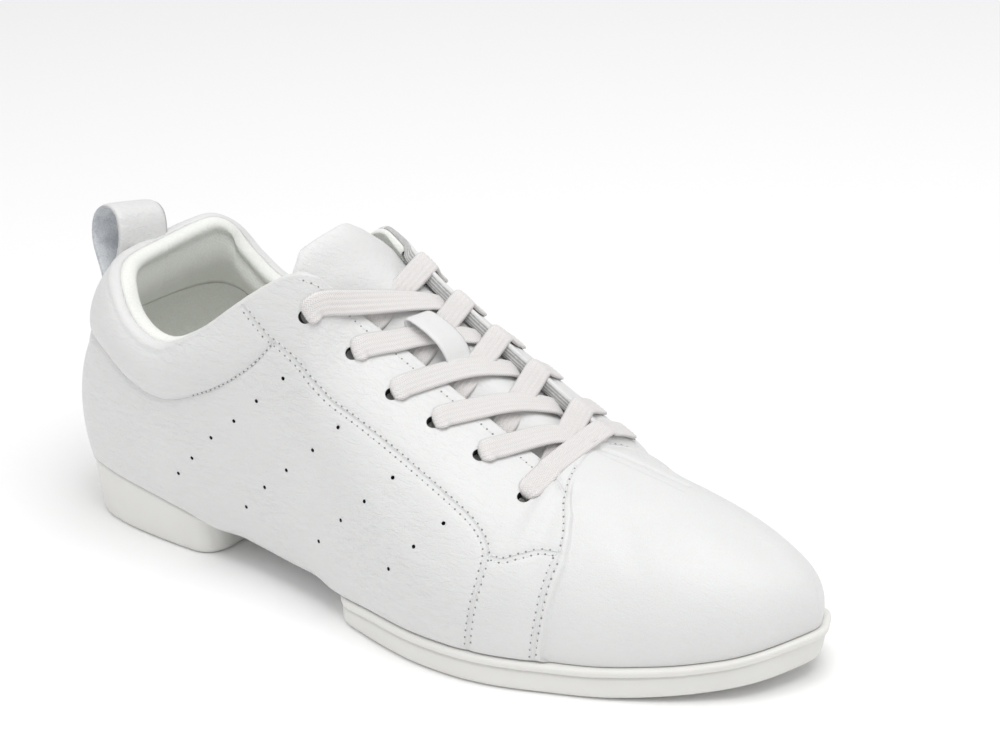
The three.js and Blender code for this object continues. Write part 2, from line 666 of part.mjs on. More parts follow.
function buildWaistStrip() {
  const half = WAIST_STRIP_WIDTH / 2;
  const from = BREAST_X + 0.4;
  const to = FOREFOOT_BACK_X - 0.4;
  const steps = 12;
  const points = [];
  for (let k = 0; k <= steps; k += 1) {
    const x = lerp(from, to, k / steps);
    const z = featherZ(x);
    points.push(
      V(x, WAIST_CENTRE_Y - half, z - 0.3), V(x, WAIST_CENTRE_Y + half, z - 0.3),
      V(x, WAIST_CENTRE_Y + half, z + WALL), V(x, WAIST_CENTRE_Y - half, z + WALL),
    );
  }
  const tris = gridTriangles(steps + 1, 4, (i, j) => i * 4 + j);
  const e = steps * 4;
  tris.push([0, 1, 2], [0, 2, 3], [e, e + 2, e + 1], [e, e + 3, e + 2]);
  return solidFrom(points, tris);
}

// The tongue hangs just inside the edges of the throat.
function rowAtTopX(side, x) {
  let lo = side === 'lateral' ? 9 : 11;
  let hi = throatRow(side);
  for (let k = 0; k < 40; k += 1) {
    const mid = (lo + hi) / 2;
    if (ribFrame(side, mid).top.x < x) lo = mid;
    else hi = mid;
  }
  return (lo + hi) / 2;
}

const TONGUE_CLEAR = 1.0;
const TONGUE_HALF = 5;
// Tongue stations. Columns: x of the throat edge, width share, shift x, y, z, thickness,
// drop of its medial side.
const TONGUE_ROWS = [
  [191.5, 0.80, 8, 0, -4.6, 1.6, 0], [187, 0.84, 0, 0, -0.4, 2.4, 0], [178, 0.82, 0, 0, 0, 3.4, 0],
  [166, 0.80, 0, 0, 0, 4, 0], [154, 0.78, 0, 0, 0, 4, 0], [142, 0.76, 0, 0, 0, 4, 0],
  [130, 0.75, 0, 0, 0, 4, 0], [120, 0.74, 0, 0, 0, 4, 1.2], [116, 0.74, -3.2, 0, 3.8, 4, 4],
  [116, 0.76, -6.2, -0.5, 8, 4, 6], [116, 0.80, -8.8, -1, 12, 3.8, 8],
  [116, 0.86, -10.8, -1.5, 14.8, 3.2, 8], [116, 0.93, -11.9, -2, 16.2, 2.2, 8],
];

function tongueSection(x, from) {
  const tl = rowAtTopX('lateral', x);
  const tm = rowAtTopX('medial', x);
  const side = (name, t, v) => {
    const n = upperNormal(name, t, v);
    const deep = wallThickness(name, t, v) - seamOffset(name, t) + TONGUE_CLEAR;
    return upperPoint(name, t, v).addScaledVector(n, -deep);
  };
  const keys = [];
  for (let k = 0; k < 4; k += 1) keys.push(side('lateral', tl, lerp(from, 1, k / 3)));
  const a = side('lateral', tl, 1);
  const b = side('medial', tm, 1);
  const mid = a.clone().lerp(b, 0.5);
  mid.z += 1.2;
  keys.push(mid);
  for (let k = 3; k >= 0; k -= 1) keys.push(side('medial', tm, lerp(from, 1, k / 3)));
  return new THREE.CatmullRomCurve3(keys, false, 'centripetal').getSpacedPoints(2 * TONGUE_HALF);
}

function buildTongue() {
  const tops = TONGUE_ROWS.map((r) => tongueSection(r[0], r[1]).map((p, j) => {
    const medial = smooth((j - TONGUE_HALF) / TONGUE_HALF);
    return p.add(V(r[2], r[3], r[4] - r[6] * medial));
  }));
  const n = 2 * TONGUE_HALF + 1;
  const normal = (i, j) => {
    const a = tops[Math.min(tops.length - 1, i + 1)][j].clone().sub(tops[Math.max(0, i - 1)][j]);
    const b = tops[i][Math.min(n - 1, j + 1)].clone().sub(tops[i][Math.max(0, j - 1)]);
    const c = a.cross(b).normalize();
    return c.z < 0 ? c.negate() : c;
  };
  const points = [];
  tops.forEach((line, i) => {
    const thick = (j) => {
      const u = Math.abs(j - TONGUE_HALF) / TONGUE_HALF;
      return lerp(TONGUE_ROWS[i][5], Math.min(1.4, TONGUE_ROWS[i][5]), u ** 3);
    };
    line.forEach((p) => points.push(p));
    for (let j = n - 1; j >= 0; j -= 1) {
      points.push(line[j].clone().addScaledVector(normal(i, j), -thick(j)));
    }
  });
  const rows = 2 * n;
  const tris = gridTriangles(tops.length, rows, (i, j) => i * rows + j);
  const end = (base, flip) => {
    for (let j = 0; j < n - 1; j += 1) {
      const q = [base + j, base + j + 1, base + rows - 1 - j, base + rows - 2 - j];
      const pair = [[q[0], q[1], q[2]], [q[1], q[3], q[2]]];
      pair.forEach((t) => tris.push(flip ? [t[0], t[2], t[1]] : t));
    }
  };
  end(0, false);
  end((tops.length - 1) * rows, true);
  return solidFrom(points, tris);
}

// The lace is drawn as flat ribbons.
// Flat ribbon along points, each with the direction its face looks to.
function ribbon(pts, ups, width, thickness) {
  const points = [];
  pts.forEach((p, i) => {
    const along = pts[Math.min(pts.length - 1, i + 1)].clone().sub(pts[Math.max(0, i - 1)]).normalize();
    const sideways = along.clone().cross(ups[i]).normalize();
    const up = sideways.clone().cross(along).normalize();
    const h = thickness / 2;
    const w = width / 2;
    [[-w, -h * 0.4], [-w * 0.86, -h], [w * 0.86, -h], [w, -h * 0.4], [w, h * 0.4], [w * 0.86, h],
      [-w * 0.86, h], [-w, h * 0.4]].forEach(([a, b]) => {
      points.push(p.clone().addScaledVector(sideways, a).addScaledVector(up, b));
    });
  });
  const tris = gridTriangles(pts.length, 8, (i, j) => i * 8 + j);
  const e = (pts.length - 1) * 8;
  for (let j = 1; j < 7; j += 1) tris.push([0, j, j + 1], [e, e + j + 1, e + j]);
  return solidFrom(points, tris);
}

// Strap from an eyelet over its own facing, across the throat to the other edge.
// At its far end it stays just clear of that edge and lower than it.
function strapKeys(side, row, target, arch) {
  const col = side === 'lateral' ? 0 : 2;
  const [t0, v0] = [EYELETS[row][col], EYELETS[row][col + 1]];
  const other = otherSide(side);
  const tEnd = EYELETS[target][side === 'lateral' ? 2 : 0];
  const lift = LACE_THICKNESS / 2 + LACE_CLEAR + SEAM_RAISE;
  const holeX = upperPoint(side, t0, v0).x;
  const tEdge = rowAtTopX(side, lerp(holeX, ribFrame(other, tEnd).top.x, 0.32));
  const keys = [];
  const ups = [];
  for (let k = 0; k <= 4; k += 1) {
    const u = k / 4;
    const t = lerp(t0, tEdge, u);
    const v = lerp(v0 + 0.01, 1, u);
    const n = upperNormal(side, t, v);
    keys.push(upperPoint(side, t, v).addScaledVector(n, lift + 0.25 * Math.sin(Math.PI * u)));
    ups.push(n);
  }
  const start = keys[keys.length - 1];
  const edge = upperPoint(other, tEnd, 1);
  const endNormal = upperNormal(other, tEnd, 1);
  const inward = start.clone().sub(edge);
  inward.z = 0;
  inward.normalize();
  const reach = 1.2 + LACE_WIDTH * 0.32;
  const end = edge.clone().addScaledVector(inward, reach).addScaledVector(endNormal, -0.2);
  for (let k = 1; k <= 4; k += 1) {
    const u = k / 4;
    const p = start.clone().lerp(end, u);
    p.z += arch * Math.sin(Math.PI * u) + 1.5 * Math.sin(Math.PI * Math.min(1, 2 * u));
    keys.push(p);
    ups.push(ups[4].clone().lerp(endNormal, u).normalize());
  }
  return { keys, ups };
}

// The two straps of a row press on each other in the throat, the near one on top:
// each bends until they join.
function buildCrossing(k) {
  const bent = (give) => {
    const over = strapKeys('lateral', k, k + 1, 0.6 - give);
    const under = strapKeys('medial', k, k + 1, 0.6 + give);
    return ribbon(over.keys, over.ups, LACE_WIDTH, LACE_THICKNESS)
      .add(ribbon(under.keys, under.ups, LACE_WIDTH, LACE_THICKNESS));
  };
  let give = 0;
  while (give < 6 && bent(give).decompose().length > 1) give += 0.25;
  return bent(give + 0.25);
}

function buildBar() {
  const last = EYELETS.length - 1;
  const lift = LACE_THICKNESS / 2 + LACE_CLEAR + SEAM_RAISE;
  const keys = [];
  const ups = [];
  const add = (side, t, v) => {
    const n = upperNormal(side, t, v);
    keys.push(upperPoint(side, t, v).addScaledVector(n, lift + 1.7));
    ups.push(n);
  };
  const row = EYELETS[last];
  for (let k = 0; k <= 4; k += 1) add('lateral', lerp(row[0], row[0] + 1.0, k / 4), lerp(row[1], 1, k / 4));
  for (let k = 4; k >= 0; k -= 1) add('medial', lerp(row[2], row[2] + 0.8, k / 4), lerp(row[3], 1, k / 4));
  return ribbon(keys, ups, LACE_WIDTH, LACE_THICKNESS);
}

// Pull loop at the back of the collar.
const LOOP_WIDTH = 22;
const LOOP_STRAP = 1.6;
const LOOP_CENTRE = [5.5, 1, 88.5];
// Path of the loop in its own plane. Columns: forward, up.
const LOOP_PATH = [
  [-1.4, -13], [-3.6, -9], [-6, -4], [-7, 1.5], [-6, 6.5], [-2, 9.5], [3, 9.6], [7.5, 7.6],
];

function buildPullLoop() {
  const axis = V(0.25, 0.95, -0.16).normalize();
  const forward = V(1, 0, 0).addScaledVector(axis, -axis.x).normalize();
  const up = forward.clone().cross(axis).normalize();
  const curve = new THREE.CatmullRomCurve3(LOOP_PATH.map(([a, b]) => V(...LOOP_CENTRE)
    .addScaledVector(forward, a).addScaledVector(up, b)), false, 'centripetal');
  const pts = curve.getSpacedPoints(22);
  const ups = pts.map((p, i) => {
    const along = pts[Math.min(22, i + 1)].clone().sub(pts[Math.max(0, i - 1)]);
    return along.cross(axis).normalize();
  });
  return ribbon(pts, ups, LOOP_WIDTH, LOOP_STRAP);
}

// Lace keeper on the tongue.
function buildKeeper() {
  const rows = [[147.9, 1.0], [147.5, 2.0], [147.4, 8.8], [140.5, 13], [130, 13]];
  const keys = rows.map(([x, lift]) => {
    const s = tongueSection(x, 0.8);
    return s[TONGUE_HALF].clone().add(V(0, 0, lift + 1.2));
  });
  return ribbon(keys, keys.map(() => V(0.45, 0, 0.9)), KEEPER_WIDTH, KEEPER_THICKNESS);
}

// The pieces together.
const group = new THREE.Group();
group.name = 'dance_sneaker';
const finish = (color, roughness) => new THREE.MeshStandardMaterial({ color, roughness });
const PIECES = [
  ['upper', buildUpper(), finish(0xf0f0ee, 0.5)],
  ['heel_block', buildHeelBlock(), finish(0xeeeeea, 0.8)],
  ['forefoot_sole', buildForefootSole(), finish(0xeeeeea, 0.8)],
  ['waist_strip', buildWaistStrip(), finish(0xe6e6e2, 0.6)],
  ['insole', buildInsole(), finish(0xd8dad2, 0.9)],
  ['tongue', buildTongue(), finish(0xf0f0ee, 0.5)],
  ['pull_loop', buildPullLoop(), finish(0xf0f0ee, 0.5)],
  ['lace_keeper', buildKeeper(), finish(0xf0f0ee, 0.5)],
  ['lace_bar', buildBar(), finish(0xf2eeee, 0.9)],
];
for (let k = 0; k < EYELETS.length - 1; k += 1) {
  PIECES.push([`lace_crossing_${k + 1}`, buildCrossing(k), finish(0xf2eeee, 0.9)]);
}

// The middle of the whole shoe's box comes over the origin, the floor stays at z = 0.
const box = new THREE.Box3();
const meshes = PIECES.map(([name, solid, material]) => {
  const geometry = toGeometry(solid);
  geometry.computeBoundingBox();
  box.union(geometry.boundingBox);
  const mesh = new THREE.Mesh(geometry, material);
  mesh.name = name;
  return mesh;
});
const shift = V(-(box.min.x + box.max.x) / 2, -(box.min.y + box.max.y) / 2, -box.min.z);
meshes.forEach((mesh) => {
  mesh.geometry.translate(shift.x, shift.y, shift.z);
  group.add(mesh);
});

export default group;
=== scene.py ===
# %% [markdown]
# # Split-sole dance sneaker for the right foot
# The shoe is a soft white leather upper on two separate rubber pads, one under the heel and
# one under the ball of the foot, with bare leather arching between them. The toe points along
# +X, the inner (big-toe) side is +Y and the floor is z = 0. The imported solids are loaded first
# as a fixed frame. Every visible piece is then rebuilt finely in the space of its solid.

# %% Load the frame
import math

import bmesh
import bpy
import numpy as np
from mathutils import Matrix, Vector
from mathutils.kdtree import KDTree


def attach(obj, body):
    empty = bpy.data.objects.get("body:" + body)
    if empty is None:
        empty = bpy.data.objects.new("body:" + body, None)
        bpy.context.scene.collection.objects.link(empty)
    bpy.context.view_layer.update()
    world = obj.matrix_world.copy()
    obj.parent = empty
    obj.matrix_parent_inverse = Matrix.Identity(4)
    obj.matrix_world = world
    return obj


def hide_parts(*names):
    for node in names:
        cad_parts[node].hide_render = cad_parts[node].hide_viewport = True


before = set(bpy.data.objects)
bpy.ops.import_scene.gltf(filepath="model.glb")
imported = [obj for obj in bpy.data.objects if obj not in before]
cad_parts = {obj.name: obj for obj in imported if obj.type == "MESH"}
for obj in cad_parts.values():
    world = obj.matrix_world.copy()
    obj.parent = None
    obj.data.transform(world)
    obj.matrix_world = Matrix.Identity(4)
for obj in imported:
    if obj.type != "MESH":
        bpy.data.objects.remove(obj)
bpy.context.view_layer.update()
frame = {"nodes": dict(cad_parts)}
print("solids:", sorted(frame["nodes"]))

# %% [markdown]
# ## Working sizes
# A shoemaker works from a last, a smooth foot shape. All tables here are in millimetres, with
# the back of the heel at x = 0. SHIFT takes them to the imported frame, whose origin lies under
# the middle of the shoe. Working in one plain unit and converting once, at the end, keeps the
# numbers readable.

# %% Sizes
SHIFT = np.array([-133.842, 5.273, 0.0])
MM = 0.001
WALL = 2.4
VAMP_WALL = 2.0
SEAM_RAISE = 0.6
SEAM_SINK = 0.5
FIT_GAP = 0.3
BREAST_X = 69.0
FOREFOOT_BACK_X = 126.5
PAD_CORNER = 9.0
WAIST_HALF = 10.0
WAIST_CENTRE_Y = -1.0
MARGIN_WIDTH = 14.0
INSOLE_THICKNESS = 2.5
LACE_WIDTH = 8.0
LACE_THICKNESS = 1.3
EYELET_RADIUS = 2.1
THROAT_ROW = {"lateral": 18, "medial": 20}
END_ROW = {"lateral": 24, "medial": 26}
OTHER = {"lateral": "medial", "medial": "lateral"}
SIDES = ("lateral", "medial")
print("upper wall", WALL, "mm, vamp wall", VAMP_WALL, "mm, lace", LACE_WIDTH, "mm wide")

# %% [markdown]
# ## The last in tables
# The outline is where the sole meets the floor, the feather line is the height where upper and
# sole meet, and each rib row is one curve from the feather line up to the top line. Tables of
# named columns are easy to tune row by row, and the functions below turn them into surfaces.

# %% Outline and feather line. Columns: x, y or x, z
OUTLINE_LATERAL = np.array([
    [0, 1], [0.8, -6.8], [4.3, -17.1], [9.5, -25.5], [16.7, -31.2], [27, -34.2], [37.8, -35.5],
    [51.3, -36.1], [62.1, -36.1], [81, -36.4], [102.6, -39.1], [124.2, -42.8], [137.7, -46.5],
    [151.2, -49.8], [164.7, -52], [178.2, -52.2], [189, -50.9], [199.8, -47.9], [210.6, -43.7],
    [224.1, -38.2], [236.3, -31.6], [247.6, -24.1], [257.9, -15.3], [264.6, -5.9], [269.5, 8],
])

OUTLINE_MEDIAL = np.array([
    [0, 1], [0.8, 9.5], [3.2, 20], [9.7, 29.3], [15.7, 31.8], [24.3, 33], [35.6, 34.1],
    [50.2, 35.1], [62.1, 35.3], [81, 35.8], [102.6, 37.5], [124.2, 40.1], [148.5, 41.7],
    [167.4, 41.2], [189, 39.6], [213.3, 37.2], [234.9, 33.7], [251.1, 29.4], [263.3, 21.9],
    [268.1, 14.5], [269.5, 8],
])

FEATHER = np.array([
    [-4, 21.1], [0, 21], [20, 19.8], [35, 18.3], [56, 15], [72, 11.5], [89, 9], [108, 8.3],
    [128, 8.6], [150, 10], [190, 10], [215, 10], [240, 11.5], [255, 13.5], [273, 17],
])

# %% Rib rows. Columns: share of the outline, inset, top x, y, z, low rise, low out, high x,
# high y, high z off the top, padding, height share where the padding starts
RIBS_LATERAL = np.array([
    [0.00, -2.5, 16.0, 1.0, 87.0, 26, 6.0, -9, 0, -22, 7.0, 0.60],
    [0.05, -2.2, 18.5, -14.0, 87.5, 26, 6.0, -8, -5, -22, 7.0, 0.59],
    [0.10, -1.6, 24.5, -25.0, 87.5, 26, 5.0, -5, -7, -20, 7.0, 0.58],
    [0.15, -1.0, 32.5, -33.0, 84.0, 26, 4.0, -2, -5, -18, 7.0, 0.57],
    [0.20, -0.5, 42.5, -37.5, 76.0, 22, 3.5, 0, -3, -16, 7.0, 0.59],
    [0.25, 0.0, 56.0, -38.5, 72.5, 22, 3.0, 0, -3, -16, 7.0, 0.63],
    [0.30, 0.5, 72.0, -37.5, 80.5, 24, 3.0, 0, -5, -16, 6.5, 0.65],
    [0.35, 1.2, 88.0, -34.5, 93.0, 28, 3.0, 0, -6, -20, 5.5, 0.68],
    [0.40, 1.2, 102.0, -29.5, 102.5, 32, 3.0, 0, -8, -22, 4.5, 0.80],
    [0.43, 1.2, 110.0, -25.5, 104.0, 36, 3.0, 1, -10, -21, 3.6, 0.85],
    [0.45, 1.2, 113.5, -20.5, 99.0, 38, 3.0, 2, -16, -15, 3.0, 0.85],
    [0.475, 1.2, 119.0, -15.0, 90.0, 40, 3.0, 2, -21, -13, 2.8, 0.85],
    [0.51, 1.3, 130.0, -12.0, 82.5, 42, 3.0, 3, -24, -12, 2.6, 0.85],
    [0.56, 1.4, 146.0, -11.0, 74.0, 38, 3.0, 3, -24, -11, 2.6, 0.85],
    [0.61, 1.5, 162.0, -10.5, 66.0, 33, 3.0, 3, -24, -9, 2.6, 0.85],
    [0.65, 1.5, 176.0, -10.0, 59.0, 29, 3.0, 3, -24, -8, 2.6, 0.85],
    [0.68, 1.5, 188.0, -9.0, 54.5, 27, 3.0, 3, -24, -7, 2.5, 0.85],
    [0.70, 1.5, 191.5, -3.0, 56.0, 26, 3.0, 3, -24, -3, 2.4, 0.85],
    [0.72, 1.5, 192.5, 4.0, 56.8, 26, 3.0, 4, -23, -1, 2.4, 0.85],
    [0.74, 1.5, 196.5, 4.3, 56.4, 26, 3.0, 7, -22, -1.4, 2.4, 0.85],
    [0.80, 1.2, 207.0, 5.5, 54.2, 23, 3.0, 9, -20, -2.0, 2.0, 0.85],
    [0.85, 0.8, 217.0, 7.0, 51.8, 22, 3.0, 11, -18, -2.8, 2.0, 0.85],
    [0.90, 0.3, 227.0, 8.0, 49.2, 20, 3.0, 15, -14, -4.6, 2.0, 0.85],
    [0.95, -0.4, 235.0, 8.7, 46.6, 18, 2.5, 18, -8, -6.4, 2.0, 0.85],
    [1.00, -1.0, 241.0, 9.0, 44.4, 16, 2.0, 20, 0, -7.6, 2.0, 0.85],
])

RIBS_MEDIAL = np.array([
    [0.00, -2.5, 16.0, 1.0, 87.0, 26, 6.0, -9, 0, -22, 7.0, 0.60],
    [0.05, -2.2, 18.0, 15.0, 88.5, 26, 6.0, -8, 4, -22, 7.0, 0.59],
    [0.10, -1.6, 21.0, 25.0, 88.5, 26, 5.0, -5, 7, -20, 7.0, 0.58],
    [0.14, -1.0, 25.0, 32.5, 83.0, 26, 4.0, -2, 5, -18, 7.0, 0.57],
    [0.18, -0.5, 31.0, 36.0, 74.0, 22, 3.0, 0, 3, -16, 7.0, 0.58],
    [0.22, 0.0, 41.0, 37.5, 66.5, 20, 3.0, 0, 3, -14, 7.0, 0.60],
    [0.26, 0.5, 54.0, 37.5, 64.5, 20, 2.0, 0, 3, -14, 7.0, 0.62],
    [0.30, 1.2, 66.0, 36.5, 69.0, 22, 2.0, 0, 4, -15, 6.5, 0.65],
    [0.34, 1.2, 78.0, 33.5, 79.0, 26, 2.0, 0, 5, -17, 6.0, 0.68],
    [0.38, 1.2, 88.0, 29.0, 91.0, 30, 2.0, 0, 6, -20, 5.5, 0.74],
    [0.41, 1.2, 96.0, 24.0, 99.5, 34, 2.0, 0, 8, -20, 4.5, 0.80],
    [0.435, 1.2, 103.0, 20.5, 102.5, 38, 2.0, 1, 10, -19, 3.6, 0.85],
    [0.455, 1.2, 109.0, 17.5, 101.0, 41, 2.0, 2, 12, -14, 3.0, 0.85],
    [0.48, 1.2, 117.0, 15.5, 96.5, 43, 2.0, 2, 14, -10, 2.8, 0.85],
    [0.51, 1.3, 127.0, 14.0, 91.0, 44, 2.0, 3, 15, -9, 2.6, 0.85],
    [0.56, 1.4, 142.0, 13.5, 82.5, 40, 2.0, 3, 16, -8, 2.6, 0.85],
    [0.61, 1.5, 157.0, 13.0, 74.5, 36, 2.0, 3, 17, -7, 2.6, 0.85],
    [0.66, 1.5, 173.0, 13.0, 66.0, 31, 2.0, 3, 17, -6, 2.6, 0.85],
    [0.70, 1.5, 187.5, 12.0, 58.5, 28, 2.0, 3, 18, -4, 2.5, 0.85],
    [0.715, 1.5, 191.5, 8.5, 57.4, 27, 2.0, 3, 18, -2, 2.4, 0.85],
    [0.73, 1.5, 192.5, 4.0, 56.8, 26, 2.0, 4, 18, -1, 2.4, 0.85],
    [0.75, 1.5, 196.5, 4.3, 56.4, 26, 2.0, 7, 17, -1.4, 2.4, 0.85],
    [0.80, 1.2, 207.0, 5.5, 54.2, 24, 2.0, 9, 16, -2.0, 2.0, 0.85],
    [0.85, 0.8, 217.0, 7.0, 51.8, 22, 2.0, 11, 14, -2.8, 2.0, 0.85],
    [0.90, 0.3, 227.0, 8.0, 49.2, 20, 2.0, 15, 11, -4.6, 2.0, 0.85],
    [0.95, -0.4, 235.0, 8.7, 46.6, 18, 2.0, 18, 6, -6.4, 2.0, 0.85],
    [1.00, -1.0, 241.0, 9.0, 44.4, 16, 2.0, 20, 0, -7.6, 2.0, 0.85],
])

# %% Eyelets and tongue
# Columns: lateral row number, height share, medial row number, height share
EYELETS = np.array([
    [9.06, 0.839, 13.05, 0.79], [11.31, 0.844, 14.4, 0.78], [12.46, 0.811, 15.34, 0.765],
    [13.36, 0.827, 16.24, 0.75], [14.44, 0.839, 17.23, 0.73], [15.81, 0.798, 18.2, 0.71],
])

# Columns: throat x, height share of the edges, shift x, y, z, thickness, inner drop
TONGUE_ROWS = np.array([
    [191.5, 0.80, 8, 0, -4.6, 1.6, 0], [187, 0.84, 0, 0, -0.4, 2.4, 0],
    [178, 0.82, 0, 0, 0, 3.4, 0], [166, 0.80, 0, 0, 0, 4, 0],
    [154, 0.78, 0, 0, 0, 4, 0], [142, 0.76, 0, 0, 0, 4, 0],
    [130, 0.75, 0, 0, 0, 4, 0], [120, 0.74, 0, 0, 0, 4, 1.2], [116, 0.74, -3.2, 0, 3.8, 4, 4],
    [116, 0.76, -6.2, -0.5, 8, 4, 6], [116, 0.80, -8.8, -1, 12, 3.8, 8],
    [116, 0.86, -10.8, -1.5, 14.8, 3.2, 8], [116, 0.93, -11.9, -2, 16.2, 2.2, 8],
])


# %% Reading the tables
def rows_at(table, t):
    """Row of a table at fractional row numbers, eased between its rows."""
    t = np.asarray(t, float)
    last = len(table) - 1
    i = np.clip(np.floor(t).astype(int), 0, last - 1)
    u = (t - i)[..., None]
    a, b, d, e = (table[np.clip(i + k, 0, last)] for k in (-1, 0, 1, 2))
    return 0.5 * (2 * b + (d - a) * u + (2 * a - 5 * b + 4 * d - e) * u * u
                  + (3 * b - a - 3 * d + e) * u ** 3)


def table_at(table, x):
    """Value of a two-column table, eased without overshoot."""
    x = np.asarray(x, float)
    xs, ys = table[:, 0], table[:, 1]
    slope = np.diff(ys) / np.diff(xs)
    i = np.clip(np.searchsorted(xs, x, side="left") - 1, 0, len(xs) - 2)

    def side(a, b):
        s = (ys[b] - ys[a]) / np.where(xs[b] == xs[a], 1, xs[b] - xs[a])
        m = slope[i]
        return np.where(s * m <= 0, 0, 2 * s * m / np.where(s + m == 0, 1, s + m))

    h = xs[i + 1] - xs[i]
    t = np.clip((x - xs[i]) / h, 0, 1)
    m1 = side(np.maximum(i - 1, 0), i)
    m2 = side(i + 1, np.minimum(i + 2, len(xs) - 1))
    return ((2 * t ** 3 - 3 * t ** 2 + 1) * ys[i] + (t ** 3 - 2 * t ** 2 + t) * h * m1
            + (3 * t ** 2 - 2 * t ** 3) * ys[i + 1] + (t ** 3 - t ** 2) * h * m2)


def smooth(v):
    t = np.clip(v, 0, 1)
    return t * t * (3 - 2 * t)


def unit(v):
    return v / np.maximum(np.linalg.norm(v, axis=-1, keepdims=True), 1e-12)


def run_length(points):
    """Length of a line of points up to each of them."""
    return np.concatenate([[0], np.cumsum(np.linalg.norm(np.diff(points, axis=0), axis=1))])


def feather_z(x):
    return table_at(FEATHER, x)


def fine_line(table, before, after):
    """Close points along an outline table with each point's share of its length."""
    pts = np.vstack([before, table, after])
    steps = np.arange(0, len(table) - 1, 1 / 16)
    line = np.vstack([rows_at(pts, steps + 1), table[-1]])
    run = np.concatenate([[0], np.cumsum(np.hypot(*np.diff(line, axis=0).T))])
    return line, run / run[-1]


EDGE = {
    "lateral": fine_line(OUTLINE_LATERAL, OUTLINE_MEDIAL[1], OUTLINE_MEDIAL[-2]),
    "medial": fine_line(OUTLINE_MEDIAL, OUTLINE_LATERAL[1], OUTLINE_LATERAL[-2]),
}
RIBS = {"lateral": RIBS_LATERAL, "medial": RIBS_MEDIAL}


def along_edge(side, share):
    share = np.asarray(share, float)
    s = np.where(share < 0, -share, np.where(share > 1, 2 - share, share))

    def line_at(name):
        line, run = EDGE[name]
        return np.stack([np.interp(s, run, line[:, 0]), np.interp(s, run, line[:, 1])], -1)

    out = (share < 0) | (share > 1)
    return np.where(out[..., None], line_at(OTHER[side]), line_at(side))


def edge_at(side, share):
    """Point of the ground outline and its outward direction."""
    d = along_edge(side, share + 0.012) - along_edge(side, share - 0.012)
    turn = 1 if side == "lateral" else -1
    n = unit(np.stack([turn * d[..., 1], -turn * d[..., 0]], -1))
    return along_edge(side, share), n


def tuck_at(x):
    into = smooth((x - 70) / 14) * (1 - smooth((x - 114) / 14))
    return 0.8 + 4.2 * into


def rib_frame(side, t):
    """The four control points of the rib curve at row number t, and its padding."""
    r = rows_at(RIBS[side], t)
    p, n = edge_at(side, r[..., 0])
    foot = p - n * r[..., 1:2]
    tuck = tuck_at(foot[..., 0])
    z = feather_z(foot[..., 0]) + tuck
    f = np.concatenate([foot, z[..., None]], -1)
    low = f.copy()
    low[..., :2] += n * r[..., 6:7]
    low[..., 2] += r[..., 5] - tuck
    top = r[..., 2:5]
    return {"f": f, "low": low, "high": top + r[..., 7:10], "top": top, "n": n,
            "tuck": tuck, "pad": r[..., 10], "from": r[..., 11]}


def on_rib(rib, v):
    v = np.asarray(v, float)[..., None]
    w = 1 - v
    return (rib["f"] * w ** 3 + 3 * rib["low"] * w * w * v + 3 * rib["high"] * w * v * v
            + rib["top"] * v ** 3)


def upper_point(side, t, v):
    return on_rib(rib_frame(side, t), v)


def across(side, q, v):
    """Upper point at a row number that may run past the heel or the toe."""
    q = np.asarray(q, float)
    last, other = END_ROW[side], OTHER[side]
    far = np.where(q < 0, -q, END_ROW[other] - (q - last))
    out = (q < 0) | (q > last)
    here = upper_point(side, np.clip(q, 0, last), v)
    there = upper_point(other, np.where(out, far, 0), v)
    return np.where(out[..., None], there, here)


def upper_normal(side, t, v):
    t, v = np.broadcast_arrays(np.asarray(t, float), np.asarray(v, float))
    along = across(side, t + 0.05, v) - across(side, t - 0.05, v)
    rib = rib_frame(side, t)
    up = on_rib(rib, np.minimum(1, v + 0.01)) - on_rib(rib, np.maximum(0, v - 0.01))
    n = unit(np.cross(along, up))
    return n if side == "lateral" else -n


heel_top = upper_point("lateral", 0.0, 1.0)
print("heel top", heel_top.round(1), "ball width",
      round(float(EDGE["medial"][0][:, 1].max() - EDGE["lateral"][0][:, 1].min()), 1), "mm")
# %% [markdown]
# ## Turning grids into meshes
# Every fine piece of this shoe is a loft: a grid of points whose columns run along the piece.
# One helper welds the grid's shared points, drops faces that have closed up, turns the mesh
# the right way out by its volume and converts millimetres to metres.

